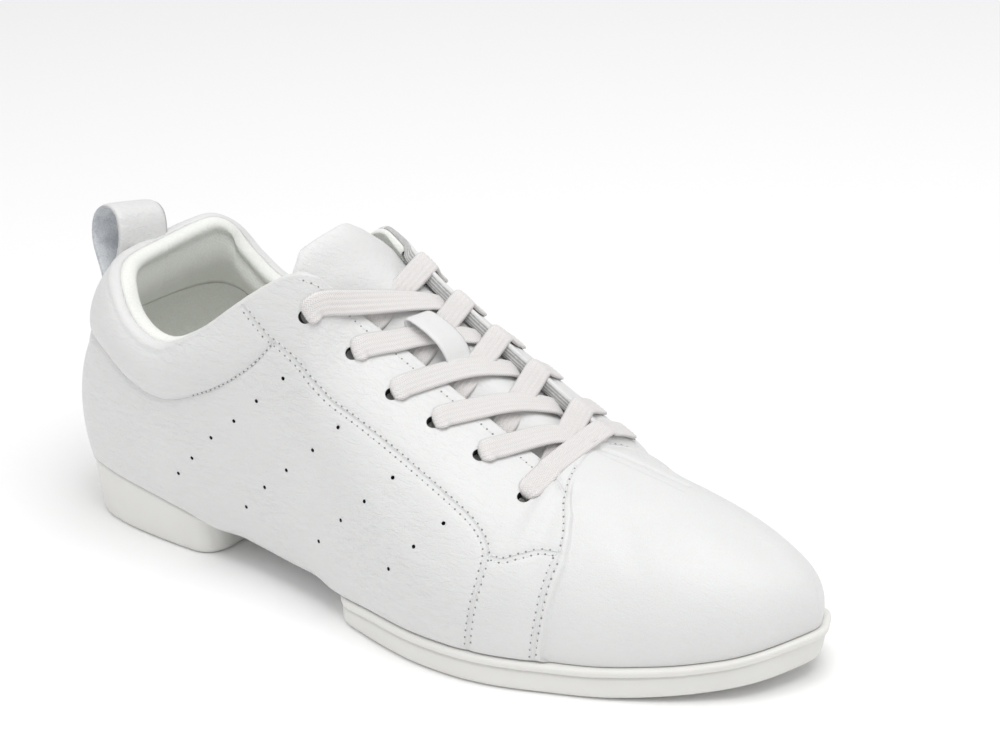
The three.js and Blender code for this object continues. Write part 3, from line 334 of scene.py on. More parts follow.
# %% Mesh helper
def solid_mesh(name, points, quads, materials, face_slots=None, marks=None):
    """Closed mesh from points in mm and four-cornered faces; marks are numbers at the points."""
    points = np.asarray(points, float)
    quads = np.asarray(quads, int)
    _, first, back = np.unique(np.round(points, 3), axis=0, return_index=True,
                               return_inverse=True)
    back = back.reshape(-1)
    quads = back[quads]
    used, again = np.unique(quads, return_inverse=True)
    quads = again.reshape(quads.shape)
    first = first[used]
    p = points[first]
    a, b, c, d = (p[quads[:, k]] for k in range(4))
    volume = np.einsum("ij,ij->", a, np.cross(b, c)) + np.einsum("ij,ij->", a, np.cross(c, d))
    if volume < 0:
        quads = quads[:, ::-1]
    slots = np.zeros(len(quads), int) if face_slots is None else np.asarray(face_slots)
    faces, kept = [], []
    for face, where in zip(quads.tolist(), slots.tolist()):
        corners = [v for k, v in enumerate(face) if v != face[k - 1]]
        if len(corners) == 4 and (corners[0] == corners[2] or corners[1] == corners[3]):
            continue
        if len(corners) > 2:
            faces.append(corners)
            kept.append(where)
    mesh = bpy.data.meshes.new(name)
    mesh.from_pydata(((p + SHIFT) * MM).tolist(), [], faces)
    for material in materials:
        mesh.materials.append(material)
    mesh.polygons.foreach_set("material_index", kept)
    mesh.polygons.foreach_set("use_smooth", [True] * len(faces))
    for mark, values in (marks or {}).items():
        layer = mesh.attributes.new(mark, "FLOAT", "POINT")
        layer.data.foreach_set("value", np.asarray(values, np.float32).reshape(-1)[first])
    mesh.update()
    piece = bpy.data.objects.new(name, mesh)
    bpy.context.scene.collection.objects.link(piece)
    return piece


def loft_quads(columns, rows, closed_columns=False, closed_rows=True):
    """Faces of a grid of points stored column after column."""
    i = np.arange(columns if closed_columns else columns - 1)[:, None]
    j = np.arange(rows if closed_rows else rows - 1)[None, :]
    i2, j2 = (i + 1) % columns, (j + 1) % rows
    quads = np.stack([i * rows + j, i2 * rows + j, i2 * rows + j2, i * rows + j2], -1)
    return quads.reshape(-1, 4)


def end_ladders(columns, rows, shift=0):
    """Caps of a loft whose round of points goes out and comes back, as rungs across it."""
    caps = []
    for c in (0, columns - 1):
        base = c * rows
        rungs = np.array([[base + m, base + m + 1, base + (rows - 2 + shift - m) % rows,
                           base + (rows - 1 + shift - m) % rows]
                          for m in range((rows - 1 + shift) // 2)])
        caps.append(rungs if c else rungs[:, ::-1])
    return caps


def end_fans(columns, rows):
    """Caps of a loft from two middle points, stored after the grid's own."""
    caps = []
    for c, hub in ((0, columns * rows), (columns - 1, columns * rows + 1)):
        fan = np.array([[c * rows + m, c * rows + (m + 1) % rows, hub, hub]
                        for m in range(rows)])
        caps.append(fan if c else fan[:, [1, 0, 2, 3]])
    return caps


def open_edges(piece):
    """How many edges don't have exactly two faces."""
    bm = bmesh.new()
    bm.from_mesh(piece.data)
    count = sum(1 for e in bm.edges if len(e.link_faces) != 2)
    bm.free()
    return count


print("mesh helpers ready")

# %% [markdown]
# ## The upper's grid
# The upper is one leather shell on the last. Columns run from the toe round the lateral side
# to the heel and back along the medial side, about a millimetre apart, and rows climb from the
# sole to the top line. A close group of columns at the vamp seam keeps the edge of the quarter
# panel crisp. The seam bows a little, so the columns near it are bent by BOW before the points
# are worked out.

# %% Columns and rows
COLUMN_STEP = 1.0
LEVELS = 84
BOW = np.array([[0, -0.16], [0.14, -0.03], [0.265, 0.06], [0.41, 0.18], [0.515, 0.15],
                [0.62, 0.02], [0.71, -0.35], [0.8, -0.62], [0.9, -0.8], [1, -0.86]])
SEAM_COLUMNS = [-0.3, -0.16, -0.09, -0.045, -0.015, 0.015, 0.045, 0.1, 0.2, 0.34]


def spaced_rows(side, start, end):
    """Row numbers between two rows, a column step apart on the ground outline."""
    t = np.linspace(start, end, 4001)
    line, _ = EDGE[side]
    length = np.hypot(*np.diff(line, axis=0).T).sum()
    along = rows_at(RIBS[side], t)[:, 0] * length
    count = int((along[-1] - along[0]) / COLUMN_STEP)
    return np.interp(np.linspace(along[0], along[-1], count + 1), along, t)


VAMP_STEPS = spaced_rows("lateral", 18, 24) - 18
VAMP_STEPS = np.sort(np.concatenate([
    VAMP_STEPS[np.abs(VAMP_STEPS - 1) > 0.42], [1 + s for s in SEAM_COLUMNS]]))


def column_rows(side):
    throat = THROAT_ROW[side]
    return np.concatenate([spaced_rows(side, 0, throat)[:-1], throat + VAMP_STEPS])


def bowed(side, t, v):
    """Row numbers near the vamp seam, bent along the seam's bow."""
    q = t - THROAT_ROW[side]
    weight = np.where(q < 1, np.clip(q, 0, 1), 1 - smooth((q - 1) / 2.4))
    return t + weight * np.interp(v, BOW[:, 0], BOW[:, 1])


def crown_height(pad):
    """How high the rolled top edge stands over its own ends."""
    return 0.7 + 2.3 * smooth((pad - 3) / 4)


def last_grid(side):
    """Points of the last on one side, with each column's top level."""
    t = column_rows(side)
    rib = rib_frame(side, t)
    length = np.linalg.norm(rib["top"] - rib["f"], axis=-1)
    before_throat = t < THROAT_ROW[side] + 1e-6
    drop = np.where(before_throat, np.maximum(0, crown_height(rib["pad"]) - 1.1) / length, 0)
    level = np.linspace(0, 1, LEVELS)[None, :] * (1 - drop)[:, None]
    tt = bowed(side, np.repeat(t[:, None], LEVELS, 1), level)
    return {"t": t, "rows": tt, "v": level, "p": upper_point(side, tt, level),
            "pad": rib["pad"], "rib": rib}


GRID = {side: last_grid(side) for side in SIDES}
print("columns:", {side: len(g["t"]) for side, g in GRID.items()}, "levels:", LEVELS)

# %% [markdown]
# The two sides meet in a sharp line along the crest of the vamp. A real vamp is one piece of
# leather pulled over the last, so the points on both sides of the crest are averaged with
# their neighbours again and again, hardest at the crest and not at all a centimetre away.

# %% Round the crest of the vamp and work out the outward directions
CREST_LEVELS = 22
CREST_PASSES = 90
VAMP = len(VAMP_STEPS)


def round_crest(lateral, medial):
    line = np.concatenate([lateral[-VAMP:], medial[-VAMP:, ::-1][:, 1:]], 1)
    near = np.abs(np.arange(line.shape[1]) - (LEVELS - 1))
    weight = (1 - smooth(near / CREST_LEVELS))[None, :, None]
    weight = weight * smooth(VAMP_STEPS / 0.9)[:, None, None]
    for _ in range(CREST_PASSES):
        soft = line.copy()
        soft[:, 1:-1] = 0.5 * line[:, 1:-1] + 0.25 * (line[:, :-2] + line[:, 2:])
        line = line + (soft - line) * weight
    lateral[-VAMP:] = line[:, :LEVELS]
    medial[-VAMP:] = line[:, LEVELS - 1:][:, ::-1]


round_crest(GRID["lateral"]["p"], GRID["medial"]["p"])


def ring_join(a, b):
    """Both sides in one row of columns: toe, lateral side, heel, medial side."""
    return np.concatenate([a[::-1], b[1:-1]], 0)


def ring_split(ring):
    n = len(GRID["lateral"]["t"])
    lateral = ring[:n][::-1]
    medial = np.concatenate([ring[n - 1:n], ring[n:], ring[:1]], 0)
    return lateral, medial


P = ring_join(GRID["lateral"]["p"], GRID["medial"]["p"])
ALONG = np.roll(P, -1, 0) - np.roll(P, 1, 0)
NORMAL = unit(np.cross(np.gradient(P, axis=1), ALONG))
middle = P.mean((0, 1))
if np.einsum("ijk,ijk->", NORMAL[:, 5:40], P[:, 5:40] - middle) < 0:
    NORMAL = -NORMAL
for side, normal in zip(("lateral", "medial"), ring_split(NORMAL)):
    GRID[side]["n"] = normal.copy()
shared = unit(GRID["lateral"]["n"][-VAMP:, -1] + GRID["medial"]["n"][-VAMP:, -1])
GRID["lateral"]["n"][-VAMP:, -1] = shared
GRID["medial"]["n"][-VAMP:, -1] = shared
print("crest smoothed over", VAMP, "columns")

# %% [markdown]
# ## Seams, padding and creases on the shell
# Seam lines are short tables of row number and height share, read off the photograph. On the
# shell each seam is a shallow valley, because thread pulls two layers of leather together. A
# mark at each point stores its distance from the seam, so the material can draw the fine
# groove at any sharpness and paint it a little darker as shade. The padded collar swells
# between its stitched line and the top edge.

# %% Seam tables. Columns: lateral row number, height share
SEAM_REACH = 3.0
FACING_SEAM = np.array([[7.11, 0.975], [7.45, 0.865], [7.9, 0.765], [8.8, 0.68], [9.9, 0.628],
                        [11.74, 0.618], [13.03, 0.612], [14.02, 0.593], [14.86, 0.568],
                        [15.36, 0.519], [15.58, 0.455], [15.6, 0.333], [15.5, 0.184],
                        [15.32, 0.0]])
CROSS_SEAM = np.array([[15.62, 0.457], [16.5, 0.45], [17.4, 0.445], [18.3, 0.445],
                       [18.98, 0.45]])
FRONT_SEAM = np.array([[18.98, 0.45], [18.88, 0.38], [18.79, 0.3], [18.7, 0.176],
                       [18.45, 0.0]])
FRONT_ROW = np.array([[18.02, 0.86], [18.17, 0.75], [18.42, 0.67], [18.76, 0.6],
                      [18.93, 0.535], [18.98, 0.455]])
PAD_LINE = np.array([[0, 0.655], [2, 0.65], [3, 0.65], [4.2, 0.658], [5, 0.668], [5.8, 0.667],
                     [6.6, 0.672], [7.36, 0.704], [7.92, 0.758]])
MEDIAL_FOR = np.array([[0, 0], [3, 3.7], [4, 5.1], [5, 6.15], [6, 7.5], [7, 9], [8, 10.85],
                       [9, 12.1], [10, 12.6], [11, 13.2], [12, 14.2], [13, 15.25], [14, 16.3],
                       [15, 17.2], [16, 18], [18, 20], [24, 26]])


def on_side(side, t):
    """Row number on a side for a lateral row number."""
    return t if side == "lateral" else np.interp(t, MEDIAL_FOR[:, 0], MEDIAL_FOR[:, 1])


def lateral_row(side, t):
    return t if side == "lateral" else np.interp(t, MEDIAL_FOR[:, 1], MEDIAL_FOR[:, 0])


def seam_line(side, table, spacing=0.5):
    """Points, directions and outward normals along a seam table, evenly spaced."""
    k = np.linspace(0, len(table) - 1, 600)
    rows = rows_at(table, k)
    t, v = on_side(side, rows[:, 0]), rows[:, 1]
    p = upper_point(side, t, v)
    run = run_length(p)
    even = np.linspace(0, run[-1], max(2, int(run[-1] / spacing) + 1))
    t, v = np.interp(even, run, t), np.interp(even, run, v)
    p = upper_point(side, t, v)
    return {"p": p, "along": unit(np.gradient(p, axis=0)), "n": upper_normal(side, t, v),
            "length": run[-1], "t": t, "v": v}


def seam_distance(line, points):
    """Signed distance of points from a seam line in mm, and 1 beside the line, else 0."""
    tree = KDTree(len(line["p"]))
    for k, q in enumerate(line["p"]):
        tree.insert(q, k)
    tree.balance()
    flat = points.reshape(-1, 3)
    found = [tree.find(q) for q in flat]
    index = np.array([f[1] for f in found])
    gap = np.array([f[2] for f in found])
    sideways = unit(np.cross(line["n"][index], line["along"][index]))
    signed = np.einsum("ij,ij->i", sideways, flat - line["p"][index])
    ahead = np.abs(np.einsum("ij,ij->i", line["along"][index], flat - line["p"][index]))
    far = (gap > 6) | (ahead > 0.45 + 0.25 * np.abs(signed))
    shape = points.shape[:-1]
    signed = np.clip(signed, -SEAM_REACH, SEAM_REACH)
    return signed.reshape(shape), np.where(far, 0.0, 1.0).reshape(shape)


# where each facing ends in front of the lace bar; the medial one runs on along the vamp
TIP_SEAM = {"lateral": np.array([[15.6, 1.0], [16.07, 0.959], [17.0, 0.839], [17.98, 0.722],
                                 [18.4, 0.69]]),
            "medial": np.array([[18.0, 0.97], [18.34, 0.957], [19.8, 0.90], [21.13, 0.873]])}
FAR_EDGE_RISE = 1.6
NO_SEAM = 9.0
# each seam's table, half width and depth of its valley in mm
SEAM_PLAN = {"facing": (FACING_SEAM, 1.5, 0.45), "cross": (CROSS_SEAM, 1.3, 0.35),
             "front": (FRONT_SEAM, 1.5, 0.35), "row": (FRONT_ROW, 0.9, 0.18),
             "pad": (PAD_LINE, 1.1, 0.55), "tip": (TIP_SEAM, 1.0, 0.6)}
SEAMS = {}
for side in SIDES:
    SEAMS[side] = {name: seam_line(side, table[side] if name == "tip" else table)
                   for name, (table, _, _) in SEAM_PLAN.items()}
    print(side, {name: round(float(line["length"])) for name, line in SEAMS[side].items()}, "mm")

# %% Creases, each a soft trough or ridge between two places on the upper
# Columns: side, row and height at one end, at the other, half width mm, depth mm
CREASES = [
    ("lateral", 1.2, 0.62, 2.6, 0.40, 5.0, 0.55), ("lateral", 2.6, 0.50, 5.2, 0.45, 6.0, -0.35),
    ("lateral", 5.0, 0.60, 8.2, 0.50, 7.0, 0.40), ("lateral", 9.0, 0.40, 12.5, 0.26, 8.0, 0.45),
    ("lateral", 7.2, 0.30, 10.5, 0.12, 7.0, 0.40), ("lateral", 12.6, 0.45, 14.9, 0.30, 5.0, 0.35),
    ("lateral", 16.0, 0.38, 18.2, 0.30, 5.0, -0.30),
    ("lateral", 16.2, 0.18, 18.2, 0.12, 5.0, 0.30),
    ("lateral", 19.6, 0.80, 20.6, 0.45, 5.5, 0.40), ("lateral", 20.2, 0.95, 21.2, 0.62, 6.0, 0.30),
    ("medial", 1.4, 0.60, 3.4, 0.42, 6.0, 0.45), ("medial", 5.6, 0.55, 9.5, 0.42, 7.0, 0.40),
    ("medial", 11.0, 0.40, 14.6, 0.24, 7.0, 0.45), ("medial", 15.0, 0.42, 17.2, 0.30, 5.0, 0.35),
    ("medial", 21.6, 0.80, 22.6, 0.45, 5.5, 0.40), ("medial", 22.2, 0.95, 23.2, 0.62, 6.0, 0.30),
]


def crease_depth(side, points):
    total = np.zeros(points.shape[:-1])
    for where, t0, v0, t1, v1, width, depth in CREASES:
        if where != side:
            continue
        s = np.linspace(0, 1, 24)
        line = upper_point(side, t0 + (t1 - t0) * s, v0 + (v1 - v0) * s)
        gap = np.full(total.shape, 99.0)
        for q, fade in zip(line, np.sin(np.pi * s) ** 0.6):
            reach = np.linalg.norm(points - q, axis=-1) + (1 - fade) * width
            gap = np.minimum(gap, reach)
        total += depth * np.exp(-(gap / width) ** 2)
    return total


def valley(distance, width, depth):
    return -depth * np.exp(-(distance / width) ** 2)


def pad_bulge(side, t, v, top):
    """Swelling of the collar between its stitched line and the top edge."""
    row = lateral_row(side, t)
    start = np.interp(row, PAD_LINE[:, 0], PAD_LINE[:, 1])
    front = np.interp(v, [0.75, 1.0], [7.95, 7.05])
    u = np.clip((v - start) / np.maximum(top - start, 0.02), 0, 1)
    ahead = smooth((front - row) / 1.6)
    return 2.5 * np.sin(np.pi * u ** 0.9) ** 0.75 * ahead * (v > start)


for side, g in GRID.items():
    points, t, v = g["p"], g["rows"], g["v"]
    top = v[:, -1:] + 0.03
    q = g["t"][:, None] - THROAT_ROW[side] - 1
    high = smooth((v - 0.70) / 0.12)
    step = smooth((q + 0.06 + 0.9 * high) / (0.1 + 1.8 * high))
    lift = SEAM_RAISE + 0.12 * (1 - high) * np.exp(-((q + 0.1) / 0.12) ** 2)
    out = lift * (1 - step) - SEAM_SINK * step
    out = out + pad_bulge(side, t, v, top) - crease_depth(side, points)
    for name, (_, width, depth) in SEAM_PLAN.items():
        distance, beside = seam_distance(SEAMS[side][name], points)
        g["seam_" + name], g["beside_" + name] = distance, beside
        out = out + valley(np.where(beside > 0, distance, NO_SEAM), width, depth)
    if side == "medial":
        # the far facing stands up a little along its edge
        laced = smooth((g["t"] - 11) / 1.5) * (1 - smooth((g["t"] - THROAT_ROW[side] + 0.5) / 1.0))
        out = out + FAR_EDGE_RISE * laced[:, None] * smooth((v - 0.90) / 0.10)
    g["out"] = out
print("deepest valley", round(float(min(g["out"].min() for g in GRID.values())), 2), "mm")

# %% [markdown]
# ## The leather shell
# A shell with a real wall is one closed surface: under the foot, up the outside, over the top
# edge, down the inside and back. Each column of the grid gets that whole round of points.
# Along the collar the leather only covers the outer part of the rolled edge, because the
# padded lining takes over there, as on the real shoe.

# %% Round of points for each column
CROWN_STEPS = 11
UNDER_POINTS = 7
LEATHER, LINING, CUT_EDGE_SHADE = 0, 1, 3
LEATHER_SHARE = 0.48
INNER_ROWS = [81, 77, 72, 66, 59, 52, 44, 36, 28, 20, 12]
HOLD_LINING = 9.6
LACED_FROM = 10.6


def under(rib, d, lift):
    xy = rib["f"][:, :2] - rib["n"] * d[:, None]
    return np.concatenate([xy, (feather_z(xy[:, 0]) + lift)[:, None]], -1)


def margin_width(rib):
    reach = (np.abs(rib["f"][:, 1] - WAIST_CENTRE_Y) - WAIST_HALF - FIT_GAP)
    reach = reach / np.maximum(0.5, np.abs(rib["n"][:, 1]))
    x = rib["f"][:, 0]
    waist = (x > BREAST_X - 1.5) & (x < FOREFOOT_BACK_X + 1.5)
    return np.where(waist, reach, MARGIN_WIDTH)


def crown_frame(g):
    """Middle, half width, height and directions of the rolled top edge."""
    up = unit(g["p"][:, -1] - g["p"][:, -4])
    outer = g["out"][:, -1]
    inner = SEAM_RAISE - np.maximum(3.0, g["pad"])
    return {"base": g["p"][:, -1], "up": up, "n": g["n"][:, -1], "mid": (outer + inner) / 2,
            "half": (outer - inner) / 2, "height": crown_height(g["pad"]), "inner": inner}


def on_crown(frame, theta, shrink=0.0):
    """Points of the rolled edge; theta runs from 0 outside to pi inside."""
    c, s = np.cos(theta), np.sin(theta)
    d = frame["mid"] + (frame["half"] - shrink) * np.sign(c) * np.abs(c) ** 0.9
    h = (frame["height"] - shrink) * np.maximum(s, 0) ** 0.8
    return frame["base"] + frame["n"] * d[:, None] + frame["up"] * h[:, None]


def leather_end(row):
    """Angle on the rolled edge where the leather stops and the lining takes over."""
    return math.pi * (LEATHER_SHARE + (1 - LEATHER_SHARE) * smooth((row - HOLD_LINING) / 0.7))


def column_round(side, g):
    rib, row = g["rib"], lateral_row(side, g["t"])
    width, tuck, out0 = margin_width(rib), rib["tuck"], g["out"][:, 0]
    rows = [under(rib, width, 0), under(rib, (width * 2 + tuck) / 3, 0),
            under(rib, (width + tuck * 2) / 3, 0), under(rib, tuck, 0)]
    for angle in (22.5, 45, 67.5):
        s, c = math.sin(math.radians(angle)), math.cos(math.radians(angle))
        rows.append(under(rib, tuck - (tuck + out0) * s, tuck * (1 - c)))
    outer = g["p"] + g["n"] * g["out"][..., None]
    rows += list(outer.transpose(1, 0, 2))
    frame = crown_frame(g)
    end = leather_end(row)
    last = None
    for k in range(1, CROWN_STEPS + 1):
        theta = end * k / CROWN_STEPS
        last = on_crown(frame, theta, 0.3 if k == CROWN_STEPS else 0.0)
        rows.append(last)
    depth = np.einsum("ij,ij->i", last - frame["base"], frame["n"])
    depth = np.where(g["t"] > THROAT_ROW[side] - 1e-6, -WALL, depth)
    start = np.interp(row, PAD_LINE[:, 0], PAD_LINE[:, 1])
    top = g["v"][:, -1]
    for index in INNER_ROWS:
        w = smooth((g["v"][:, index] - start) / (top - start))
        d = -WALL + (depth + WALL) * w
        rows.append(g["p"][:, index] + g["n"][:, index] * d[:, None])
    floor = np.where(tuck > 2, 3.4, 3.0)
    rows += [under(rib, floor, WALL), under(rib, (width + floor * 2) / 3, WALL),
             under(rib, (width * 2 + floor) / 3, WALL), under(rib, width, WALL)]
    return np.stack(rows, 1)


def build_shell(materials):
    rounds, marks = {}, {}
    names = [kind + name for kind in ("seam_", "beside_") for name in SEAM_PLAN]
    for side, g in GRID.items():
        rounds[side] = column_round(side, g)
        count = rounds[side].shape[1]
        for name in names:
            far = SEAM_REACH if name.startswith("seam") else 0.0
            full = np.full((len(g["t"]), count), far)
            full[:, UNDER_POINTS:UNDER_POINTS + LEVELS] = g[name]
            full[:, :UNDER_POINTS] = g[name][:, :1]
            marks.setdefault(name, {})[side] = full
    crest_out = UNDER_POINTS + LEVELS - 1
    crest_in = crest_out + CROWN_STEPS
    a, b = rounds["lateral"][-VAMP:], rounds["medial"][-VAMP:]
    for side, part in (("lateral", a), ("medial", b)):
        g = GRID[side]
        part[:, crest_in] = g["p"][-VAMP:, -1] + g["n"][-VAMP:, -1] * -WALL
    for k in range(crest_out, crest_in + 1):
        mean = (a[:, k] + b[:, k]) / 2
        a[:, k] = mean
        b[:, k] = mean
    ring = ring_join(rounds["lateral"], rounds["medial"])
    columns, rows = ring.shape[:2]
    quads = loft_quads(columns, rows, closed_columns=True)
    i, j = np.divmod(np.arange(columns * rows), rows)
    n = len(GRID["lateral"]["t"])
    vamp = (i < VAMP - 1) | (i >= columns - VAMP + 1)
    hidden = vamp & (j >= crest_out) & (j < crest_in)
    theta = np.zeros((columns, rows))
    for k in range(CROWN_STEPS):
        side_theta = [leather_end(lateral_row(side, GRID[side]["t"])) * (k + 1) / CROWN_STEPS
                      for side in SIDES]
        theta[:, crest_out + k] = ring_join(*side_theta)
    lined = (j > crest_in - 1) | (theta.reshape(-1) > math.pi * (LEATHER_SHARE + 0.03))
    slots = np.where(lined & (j < rows - 1), LINING, LEATHER)
    # the cut edge of the far facing shows its layers, painted dark grey as the shade under the
    # edge
    row = GRID["medial"]["t"]
    laced = (row > LACED_FROM) & (row < THROAT_ROW["medial"] + 0.4)
    far_edge_shade = np.repeat(ring_join(np.zeros(n), laced).astype(bool), rows)
    slots = np.where(far_edge_shade & (j > crest_out + 2) & (j < crest_in + 4), CUT_EDGE_SHADE, slots)
    marks["layer"] = {side: np.broadcast_to(np.arange(rows) * 1.0, (n, rows)) for side in GRID}
    joined = {name: ring_join(part["lateral"], part["medial"]) for name, part in marks.items()}
    return solid_mesh("upper_shell", ring.reshape(-1, 3), quads[~hidden], materials,
                      slots[~hidden], joined)


# %% [markdown]
# ## The padded lining of the collar
# Inside the top edge a soft roll of lining runs from one facing round the heel to the other.
# It is fullest at the heel and thins out towards the laces. It is its own closed, padded
# piece: over the edge, down the inside with a swelling, and back up along the leather.

# %% Collar lining
LINING_END = 9.9
LINING_DEPTH = [81, 78, 74, 70, 66, 62, 58, 54, 50, 47]


def lining_columns(side):
    g = GRID[side]
    return np.where(lateral_row(side, g["t"]) < LINING_END)[0]


def build_collar_lining(materials):
    rounds = {}
    for side, g in GRID.items():
        pick = lining_columns(side)
        frame = crown_frame(g)
        row = lateral_row(side, g["t"])
        end = leather_end(row)
        rows = []
        for k in range(9):
            theta = end + (math.pi - end) * k / 8
            roll = 1.9 * math.sin(math.pi * min(1, k / 9)) * smooth((g["pad"] - 3.5) / 2.5)
            rows.append(on_crown(frame, theta, (0.35 if k == 0 else 0.05) - roll))
        start = np.interp(row, PAD_LINE[:, 0], PAD_LINE[:, 1])
        top = g["v"][:, -1]
        low = top - (top - start) * 1.25
        back = []
        for index in LINING_DEPTH:
            share = (LEVELS - 1 - index) / (LEVELS - 1 - LINING_DEPTH[-1])
            v = top + (low - top) * share
            p = upper_point(side, g["t"], v)
            n = upper_normal(side, g["t"], v)
            full = np.maximum(3.2, g["pad"]) - SEAM_RAISE
            swell = 2.8 * smooth((g["pad"] - 3.5) / 2.5) * math.sin(math.pi * share ** 0.8)
            thin = smooth((share - 0.35) / 0.65)
            front = full * (1 - thin) + (WALL + 0.15) * thin
            rows.append(p - n * (front + swell)[:, None])
            w = smooth((v - start) / (top - start))
            edge = on_crown(frame, end, 0.3)
            depth = np.einsum("ij,ij->i", edge - frame["base"], frame["n"])
            back.append(p + n * np.minimum(-WALL + (depth + WALL) * w - 0.15, -2.5)[:, None])
        rows += back[::-1]
        rounds[side] = np.stack(rows, 1)[pick]
    ring = np.concatenate([rounds["lateral"][::-1], rounds["medial"][1:]], 0)
    columns, rows = ring.shape[:2]
    points = ring.reshape(-1, 3)
    quads = [loft_quads(columns, rows)]
    quads += end_ladders(columns, rows)
    return solid_mesh("collar_lining", points, np.concatenate(quads), materials)

# %% [markdown]
# ## The two rubber pads
# A split sole is two moulded pads. Each is an outline with a side wall of its own profile: a
# soft edge at the floor, a slight flare and, on the front pad, a thin lip under the leather.
# The tread is real depth in the underside. Rings round the turning points of the heel and the
# ball let a dancer spin, and gentle waves fill the flat areas.

# %% Outline of a pad
PAD_STEPS = 180
PAD_ROWS = 110
BREAST_STEPS = PAD_ROWS


def share_at_x(side, x):
    shares = np.linspace(0, 1, 4001)
    return float(np.interp(x, along_edge(side, shares)[:, 0], shares))


def pad_line(side, tip_share, breast_x):
    """One side of a pad, from its round tip to its straight breast edge."""
    u = 1 - (1 - np.linspace(0, 1, PAD_STEPS + 1)) ** 1.25
    share = tip_share + (share_at_x(side, breast_x) - tip_share) * u
    p = along_edge(side, share)
    left = np.minimum(np.abs(p[:, 0] - breast_x), PAD_CORNER)
    cut = PAD_CORNER - np.sqrt(PAD_CORNER ** 2 - (PAD_CORNER - left) ** 2)
    return np.stack([p[:, 0], p[:, 1] - np.sign(p[:, 1]) * cut, share], -1)


def inset_at(side, share):
    table = RIBS[side]
    return np.interp(share, table[:, 0], table[:, 1])


def pad_outline(tip_share, breast_x):
    """Closed ring of a pad with the inset of the upper's edge at each point."""
    a = pad_line("lateral", tip_share, breast_x)
    b = pad_line("medial", tip_share, breast_x)
    k = np.linspace(0, 1, BREAST_STEPS + 1)[1:-1, None]
    breast = a[-1, :2] * (1 - k) + b[-1, :2] * k
    inset = np.concatenate([inset_at("lateral", a[:, 2]),
                            np.full(len(breast), inset_at("lateral", a[-1:, 2])[0]),
                            inset_at("medial", b[::-1, 2])[:-1]])
    return np.concatenate([a[:, :2], breast, b[::-1, :2][:-1]]), inset


def ring_normals(ring):
    ahead = unit(np.roll(ring, -1, 0) - ring)
    behind = np.roll(ahead, 1, 0)
    t = unit(ahead + behind)
    area = np.sum(ring[:, 0] * np.roll(ring[:, 1], -1) - np.roll(ring[:, 0], -1) * ring[:, 1])
    return np.stack([t[:, 1], -t[:, 0]], -1) * (1 if area > 0 else -1)


def spring_z(x):
    return np.where(x > 213, 6 * ((x - 213) / 57) ** 2, 0)


def groove(distance, half_width, depth):
    """Depth of a rounded groove at a distance from its centre line."""
    return depth * (1 - smooth(np.abs(distance) / half_width))


def ring_distance(x, y, centre, length, width, turn=0.0):
    """Distance from an oval, measured along its rays."""
    c, s = math.cos(turn), math.sin(turn)
    dx, dy = x - centre[0], y - centre[1]
    u, w = (dx * c + dy * s) / length, (-dx * s + dy * c) / width
    r = np.hypot(u, w)
    return (r - 1) * (length + width) / 2, np.degrees(np.arctan2(w, u))


def wave_distance(x, y, x0, lean, swing, length, phase):
    return x - (x0 + lean * y + swing * np.sin((y / length + phase) * 2 * np.pi))


print("heel pad is", BREAST_X, "mm long, front pad starts at", FOREFOOT_BACK_X, "mm")

# %% Tread of the heel and of the front pad
HEEL_RINGS = [(15, 11.5), (18.6, 14.8), (22.2, 18.1), (25.8, 21.4)]
HEEL_CENTRE = (30.0, 0.5)
BALL_RINGS = [(19, 13.5), (23, 17.3), (27, 21), (31, 24.8), (35, 28.6), (39, 32.4), (43, 36.2)]
BALL_CENTRE = (202.0, -1.0)
TREAD_HALF = 1.15
TREAD_DEPTH = 1.0


def fade_out(x, y, outline, margin=5.0):
    """1 inside the pad, fading to 0 near its edge."""
    tree = KDTree(len(outline))
    for k, (a, b) in enumerate(outline):
        tree.insert((a, b, 0), k)
    tree.balance()
    gap = np.array([tree.find((a, b, 0))[2] for a, b in zip(x.ravel(), y.ravel())])
    return smooth((gap.reshape(x.shape) - margin + 1.6) / 1.6)


def heel_tread(x, y, outline):
    cut = np.zeros_like(x)
    for length, width in HEEL_RINGS:
        distance, _ = ring_distance(x, y, HEEL_CENTRE, length, width)
        cut = np.maximum(cut, groove(distance, TREAD_HALF, TREAD_DEPTH))
    inside = smooth((28 - np.abs(y - 1)) / 3)
    for x0 in (60.0, 64.0):
        distance = wave_distance(x, y, x0 - 1.5, 0.03, 1.7, 42, 0.1)
        cut = np.maximum(cut, groove(distance, TREAD_HALF, TREAD_DEPTH) * inside)
    return cut * fade_out(x, y, outline, 4.0)


def front_tread(x, y, outline):
    cut = np.zeros_like(x)
    for k, (length, width) in enumerate(BALL_RINGS):
        distance, angle = ring_distance(x, y, BALL_CENTRE, length, width, 0.08)
        here = groove(distance, TREAD_HALF, TREAD_DEPTH)
        if k > 1:
            toe = smooth((62 - k * 2 - np.abs(angle)) / 8)
            heel = smooth((66 - k * 3 - np.abs(angle - 128)) / 8)
            here = here * np.maximum(toe, heel)
        cut = np.maximum(cut, here)
    rear = smooth((170 - x) / 5) * smooth((x - 131) / 3) * smooth((36 - np.abs(y + 3)) / 3)
    for k in range(5):
        distance = wave_distance(x, y, 138 + 5.2 * k, -0.08, 2.0, 33, 0.17 * k)
        shape = smooth((30 - 2.2 * k - np.abs(y + 4)) / 4)
        cut = np.maximum(cut, groove(distance, TREAD_HALF, TREAD_DEPTH) * rear * shape)
    return cut * fade_out(x, y, outline, 5.0)


